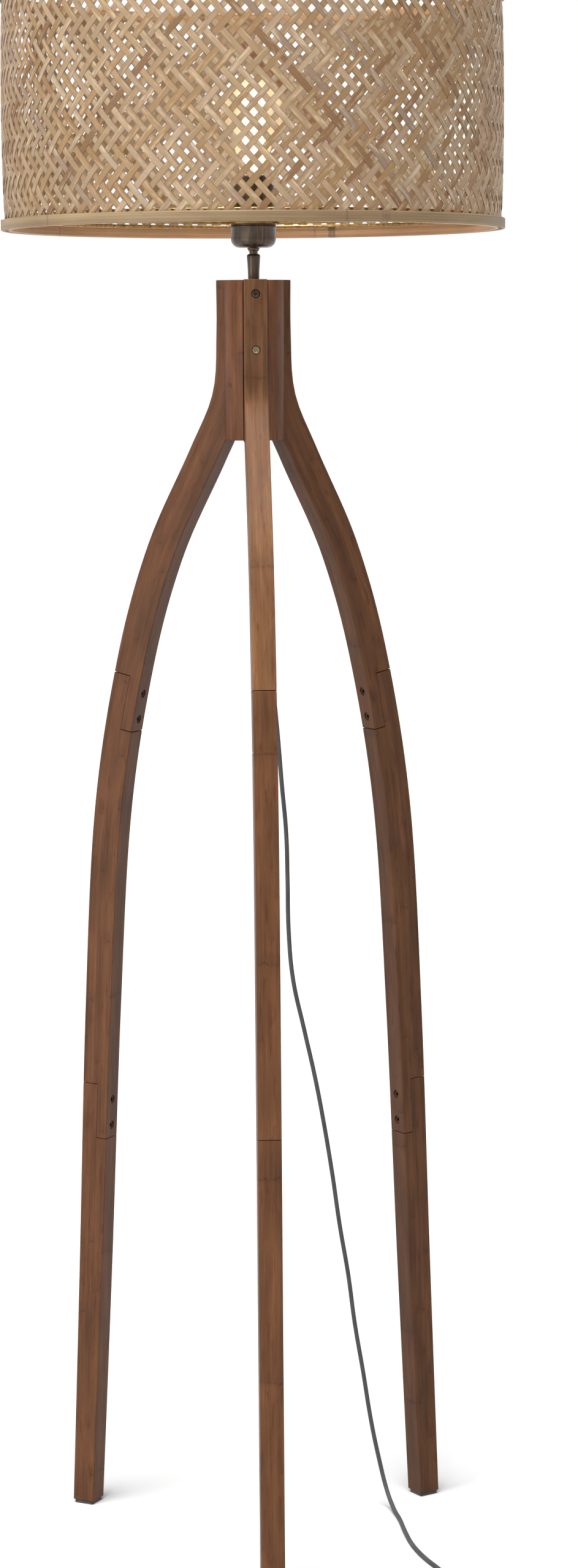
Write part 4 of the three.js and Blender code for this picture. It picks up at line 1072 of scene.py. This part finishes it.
strip_tints = ["bfa786", "c2ab8c", "c6b092", "b99f7b", "b2946c", "ae8e64", "c4ad92", "b8a184", "bda68c",
               "a5845a", "967350", "c7b59b", "b3946a", "a89482", "9a6a54"]
tint_shares = [13, 12, 8, 13, 10, 7, 9, 9, 8, 4, 2, 5, 6, 3, 1]
weave_finish = weave_cane()
height_span = weave_top - weave_bottom
crossings = int(height_span / crossing_rise)
for lean_name, lean in (("right_leaning", 1), ("left_leaning", -1)):
    weave_mesh = bmesh.new()
    place_map = weave_mesh.loops.layers.uv.new("strip")
    tint_layer = weave_mesh.verts.layers.float_color.new("strip_tint")
    stations = [weave_bottom] + [weave_bottom + crossing_rise * (k + 0.5)
                                 for k in range(crossings)] + [weave_top]
    count = len(stations) - 1
    for strip in range(strips_each_way):
        tint = colour(random.choices(strip_tints, tint_shares)[0])
        shade_of = random.uniform(0.56, 0.67)
        tint = [c * shade_of * share for c, share in zip(tint, (0.93, 0.87, 0.80))] + [1]
        width = strip_width * random.uniform(0.93, 1.05)
        lie = random.uniform(-0.0002, 0.0002)
        made = bmesh.ops.create_grid(weave_mesh, x_segments=count, y_segments=1, size=0.5,
                                     calc_uvs=False)["verts"]
        faces = list({f for v in made for f in v.link_faces})
        grid_place = {v: (round((v.co.x + 0.5) * count), round(v.co.y + 0.5)) for v in made}
        for vert in made:
            step = grid_place[vert][0]
            across = vert.co.y * width
            height = stations[step]
            crossing = step - 1
            over = 1 if crossing % 4 < 2 else -1
            if step in (0, count):
                over = 0
            rise_share = (height - shade_bottom - rim_height) / (shade_top - shade_bottom - 2 * rim_height)
            bulge = weave_bulge * math.sin(math.pi * min(1, max(0, rise_share))) ** 0.5
            angle = (2 * math.pi * (strip + (0 if lean > 0 else 0.5)) / strips_each_way
                     + lean * (height - weave_bottom) / math.tan(lean_angle) / 0.2331 + lie / 0.23)
            # The strip's own width is laid off square to its lean, along the wall.
            angle += across * math.sin(lean_angle) / 0.2331
            height -= lean * across * math.cos(lean_angle)
            height = min(max(height, weave_bottom), weave_top)
            radius = weave_radius + bulge + lean * over * 0.0004
            vert.co = (radius * math.cos(angle), radius * math.sin(angle), height)
            vert[tint_layer] = tint
        for face in faces:
            for loop in face.loops:
                step, side = grid_place[loop.vert]
                loop[place_map].uv = (stations[step] / math.sin(lean_angle) + strip * 0.37,
                                      strip + 0.02 + 0.96 * side)
    bmesh.ops.recalc_face_normals(weave_mesh, faces=weave_mesh.faces)
    outward = [f for f in weave_mesh.faces if f.normal.dot(Vector((*f.calc_center_median().xy, 0))) < 0]
    bmesh.ops.reverse_faces(weave_mesh, faces=outward)
    bmesh.ops.solidify(weave_mesh, geom=weave_mesh.faces[:], thickness=strip_thickness)
    weave = as_object(f"{lean_name}_strips", weave_mesh, 50)
    weave.data.materials.append(weave_finish)
    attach(weave, "shade")
    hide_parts("shade_weave")
    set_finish(weave, "shade_bamboo")

# ---- Foot switch ----
# A flat moulded switch on the floor, in two halves with a round push button, and a tapered tail at each end.
switch_centre = Vector((0.095, -0.208, 0))
switch_size = (0.062, 0.030)
switch_corner = 0.012
switch_base_height = 0.008
switch_cover_top = 0.0173
button_radius = 0.0105
moulded = finish_named("moulded_plastic", Specular_IOR_Level=0.4)
dress(moulded, ramp(moulded, noise(moulded, in_place(moulded), 180), [(0.3, "2f2d2c"), (0.7, "3e3b39")]),
      spread(moulded, noise(moulded, in_place(moulded), 1400), 0.3, 0.7, 0.42, 0.6),
      noise(moulded, in_place(moulded), 3200), 0.0001, 0.45)


def rounded_slab(name, bottom, top, soft_top):
    mesh = bmesh.new()
    bmesh.ops.create_cube(mesh, size=1)
    bmesh.ops.scale(mesh, verts=mesh.verts, vec=(*switch_size, top - bottom))
    bmesh.ops.translate(mesh, verts=mesh.verts, vec=switch_centre + Vector((0, 0, (top + bottom) / 2)))
    uprights = [e for e in mesh.edges if abs(e.verts[0].co.z - e.verts[1].co.z) > 0.001]
    bmesh.ops.bevel(mesh, geom=uprights, offset=switch_corner, offset_type="OFFSET", segments=10,
                    profile=0.5,
                    affect="EDGES", material=-1)
    far = top if soft_top else bottom
    soft = [e for e in mesh.edges if all(abs(v.co.z - far) < 1e-5 for v in e.verts)]
    near = [e for e in mesh.edges if all(abs(v.co.z - (top + bottom - far)) < 1e-5 for v in e.verts)]
    bmesh.ops.bevel(mesh, geom=soft, offset=0.0028 if soft_top else 0.0012, offset_type="OFFSET", segments=5,
                    profile=0.5, affect="EDGES", material=-1)
    near = [e for e in near if e.is_valid]
    bmesh.ops.bevel(mesh, geom=near, offset=0.0003, offset_type="OFFSET", segments=2, profile=0.5,
                    affect="EDGES", material=-1)
    return as_object(name, mesh)


def switch_hollows():
    hollows = bmesh.new()
    bmesh.ops.create_cone(hollows, cap_ends=True, segments=64, radius1=button_radius + 0.0004,
                          radius2=button_radius + 0.0004, depth=0.03,
                          matrix=Matrix.Translation(switch_centre + Vector((0, 0, 0.0219))))
    for way in (-1, 1):
        bmesh.ops.create_cone(hollows, cap_ends=True, segments=32, radius1=0.0034, radius2=0.0034,
                              depth=0.008,
                              matrix=Matrix.Translation(switch_centre + Vector((way * 0.029, 0, 0.008)))
                              @ Matrix.Rotation(math.pi / 2, 4, "Y"))
    return hollows


for slab_name, stands_for, bottom, top, soft_top in (
        ("switch_lower_half", "switch_base", 0, switch_base_height, False),
        ("switch_upper_half", "switch_cover", switch_base_height + 0.0003, switch_cover_top, True)):
    half = cut_away(rounded_slab(slab_name, bottom, top, soft_top), switch_hollows())
    half.data.materials.clear()
    half.data.materials.append(moulded)
    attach(half, "stand")
    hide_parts(stands_for)
    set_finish(half, "switch_plastic")

button_bottom, button_top = (corner.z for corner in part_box("switch_button"))
button = turned("push_button", [(0, button_bottom), (button_radius, button_bottom),
                                (button_radius, button_top - 0.0016)]
                + arc(button_radius - 0.0014, button_top - 0.0016, 0.0014, 0, 70, 5)
                + [(0.0062, button_top), (0.0052, button_top - 0.0006), (0, button_top - 0.0009)],
                moulded, "button", "switch_plastic", "switch_button", steps=64, edge=0)
button.data.transform(Matrix.Translation(switch_centre))


def tapered_tail(name, path, start_radius, end_radius, ribs, finish, part_slot):
    """A ribbed strain relief that narrows along the flex."""
    mesh = bmesh.new()
    radii = [start_radius + (end_radius - start_radius) * k / (len(path) - 1) for k in range(len(path))]
    radii = [r - (0.0005 if ribs and 1 < k < len(path) - 2 and k % 2 else 0) for k, r in enumerate(radii)]
    tube_along(mesh, path, radii, 24)
    bmesh.ops.recalc_face_normals(mesh, faces=mesh.faces)
    tail = as_object(name, mesh, 50)
    tail.data.materials.append(finish)
    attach(tail, "stand")
    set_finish(tail, part_slot)
    return tail


def along_route(route, start, length, steps):
    """Points on a route of the flex, from the place where it starts for the given length."""
    points = [Vector(p) for p in route]
    fine = [points[i].lerp(points[i + 1], k / 20) for i in range(len(points) - 1) for k in range(20)]
    fine.append(points[-1])
    run, chosen, wanted = 0.0, [], [start + length * k / steps for k in range(steps + 1)]
    for first, second in zip(fine, fine[1:]):
        run += (second - first).length
        while wanted and run >= wanted[0]:
            chosen.append(second)
            wanted.pop(0)
    return chosen


tapered_tail("switch_inlet_tail", along_route(flex_lead_route[::-1], 0.002, 0.026, 12),
                          0.0033, 0.0025, True, moulded, "switch_plastic")
tapered_tail("switch_outlet_tail", along_route(flex_link_route, 0.002, 0.026, 12),
                           0.0033, 0.0025, True, moulded, "switch_plastic")

# ---- Plug ----
# A flat two-pin plug moulded on the end of the flex, lying on its side beside the winding.
plug_finish = finish_named("plug_plastic", Specular_IOR_Level=0.4)
dress(plug_finish, ramp(plug_finish, noise(plug_finish, in_place(plug_finish), 160),
                        [(0.3, "373636"), (0.7, "454443")]),
      spread(plug_finish, noise(plug_finish, in_place(plug_finish), 1400), 0.3, 0.7, 0.45, 0.62),
      noise(plug_finish, in_place(plug_finish), 3200), 0.0001, 0.4)
pin_metal = finish_named("pin_metal", Metallic=0.9)
dress(pin_metal,
      ramp(pin_metal, noise(pin_metal, in_place(pin_metal), 500), [(0.3, "a9a49a"), (0.7, "d3cfc5")]),
      spread(pin_metal, noise(pin_metal, in_place(pin_metal), 1200), 0.3, 0.7, 0.2, 0.36))
plug_face = Vector((-0.128, -0.218, 0))
plug_thickness = 0.0137
plug_mesh = bmesh.new()
plug_outline = [(0, 0.01265), (0.005, 0.01765), (0.012, 0.01765), (0.0235, 0.0090), (0.038, 0.0060)]
outline_points = [plug_mesh.verts.new((x, y, 0)) for x,
                  y in plug_outline + [(x, -y) for x, y in plug_outline[::-1]]]
plug_bottom = plug_mesh.faces.new(outline_points)
plug_lid = bmesh.ops.extrude_face_region(plug_mesh, geom=[plug_bottom])["geom"]
bmesh.ops.translate(plug_mesh, verts=[g for g in plug_lid if isinstance(g, bmesh.types.BMVert)],
                    vec=(0, 0, plug_thickness))
bmesh.ops.recalc_face_normals(plug_mesh, faces=plug_mesh.faces)
side_edges = [e for e in plug_mesh.edges if abs(e.verts[0].co.z - e.verts[1].co.z) > 0.001]
bmesh.ops.bevel(plug_mesh, geom=side_edges, offset=0.0022, offset_type="OFFSET", segments=4, profile=0.5,
                affect="EDGES", clamp_overlap=True, material=-1)
lid_edges = [e for e in plug_mesh.edges if len(e.link_faces) == 2 and e.calc_face_angle() > 1.2]
bmesh.ops.bevel(plug_mesh, geom=lid_edges, offset=0.0020, offset_type="OFFSET", segments=4, profile=0.5,
                affect="EDGES", clamp_overlap=True, material=-1)
bmesh.ops.translate(plug_mesh, verts=plug_mesh.verts, vec=plug_face)
plug = as_object("moulded_plug", plug_mesh)
plug.data.materials.append(plug_finish)
plug.data.materials.append(pin_metal)
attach(plug, "stand")
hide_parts("plug_body")
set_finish(plug, "plug_plastic")
pins_mesh = bmesh.new()
for way in (-1, 1):
    bmesh.ops.create_cone(pins_mesh, cap_ends=True, segments=28, radius1=0.002, radius2=0.002, depth=0.020,
                                matrix=Matrix.Translation(plug_face + Vector((-0.009, way * 0.0093,
                                                                              0.00685)))
                                @ Matrix.Rotation(math.pi / 2, 4, "Y"))["verts"]
tips = [e for e in pins_mesh.edges if len(e.link_faces) == 2 and e.calc_face_angle() > 1]
bmesh.ops.bevel(pins_mesh, geom=tips, offset=0.0010, offset_type="OFFSET", segments=4, profile=0.5,
                affect="EDGES", material=-1)
pins = as_object("plug_pins", pins_mesh)
pins.data.materials.append(pin_metal)
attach(pins, "stand")
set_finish(pins, "plug_plastic")
tapered_tail("plug_tail", along_route([(-0.0915, -0.218, 0.00685)] + flex_tail_route[::-1], 0.0,
                                                  0.026, 12), 0.0046, 0.0027, True, plug_finish,
             "plug_plastic")

# ---- Winding tie ----
# A strip of soft plastic passed round the turns of the winding at one side.
# It keeps the spare length of the flex together.
tie_mesh = bmesh.new()
tie_corners = (arc(0.0042, 0.0094, 0.0028, 0, 90, 5) + arc(-0.0042, 0.0094, 0.0028, 90, 180, 5)
               + arc(-0.0042, 0.0031, 0.0028, 180, 270, 5) + arc(0.0042, 0.0031, 0.0028, 270, 360, 5))
tie_points = [tie_mesh.verts.new(coil_centre + Vector((-0.0230 + x, -0.0020, z))) for x, z in tie_corners]
tie_loop = [tie_mesh.edges.new(pair) for pair in zip(tie_points, tie_points[1:] + tie_points[:1])]
far_edge = bmesh.ops.extrude_edge_only(tie_mesh, edges=tie_loop)["geom"]
bmesh.ops.translate(tie_mesh, verts=[g for g in far_edge if isinstance(g, bmesh.types.BMVert)],
                    vec=(0, 0.004, 0))
bmesh.ops.recalc_face_normals(tie_mesh, faces=tie_mesh.faces)
bmesh.ops.solidify(tie_mesh, geom=tie_mesh.faces[:], thickness=0.0005)
winding_tie = as_object("winding_tie", tie_mesh)
winding_tie.data.materials.append(bush_rubber)
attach(winding_tie, "stand")
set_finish(winding_tie, "flex_grey")

# The plaited wall lets the high light down to the stand, so the shade is left out of what blocks that light.
let_through = bpy.data.collections.new("let_through")
for piece in scene.objects:
    if piece.get("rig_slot") == "shade_bamboo":
        let_through.objects.link(piece)
for member in let_through.collection_objects:
    member.light_linking.link_state = "EXCLUDE"
overhead_light.light_linking.blocker_collection = let_through
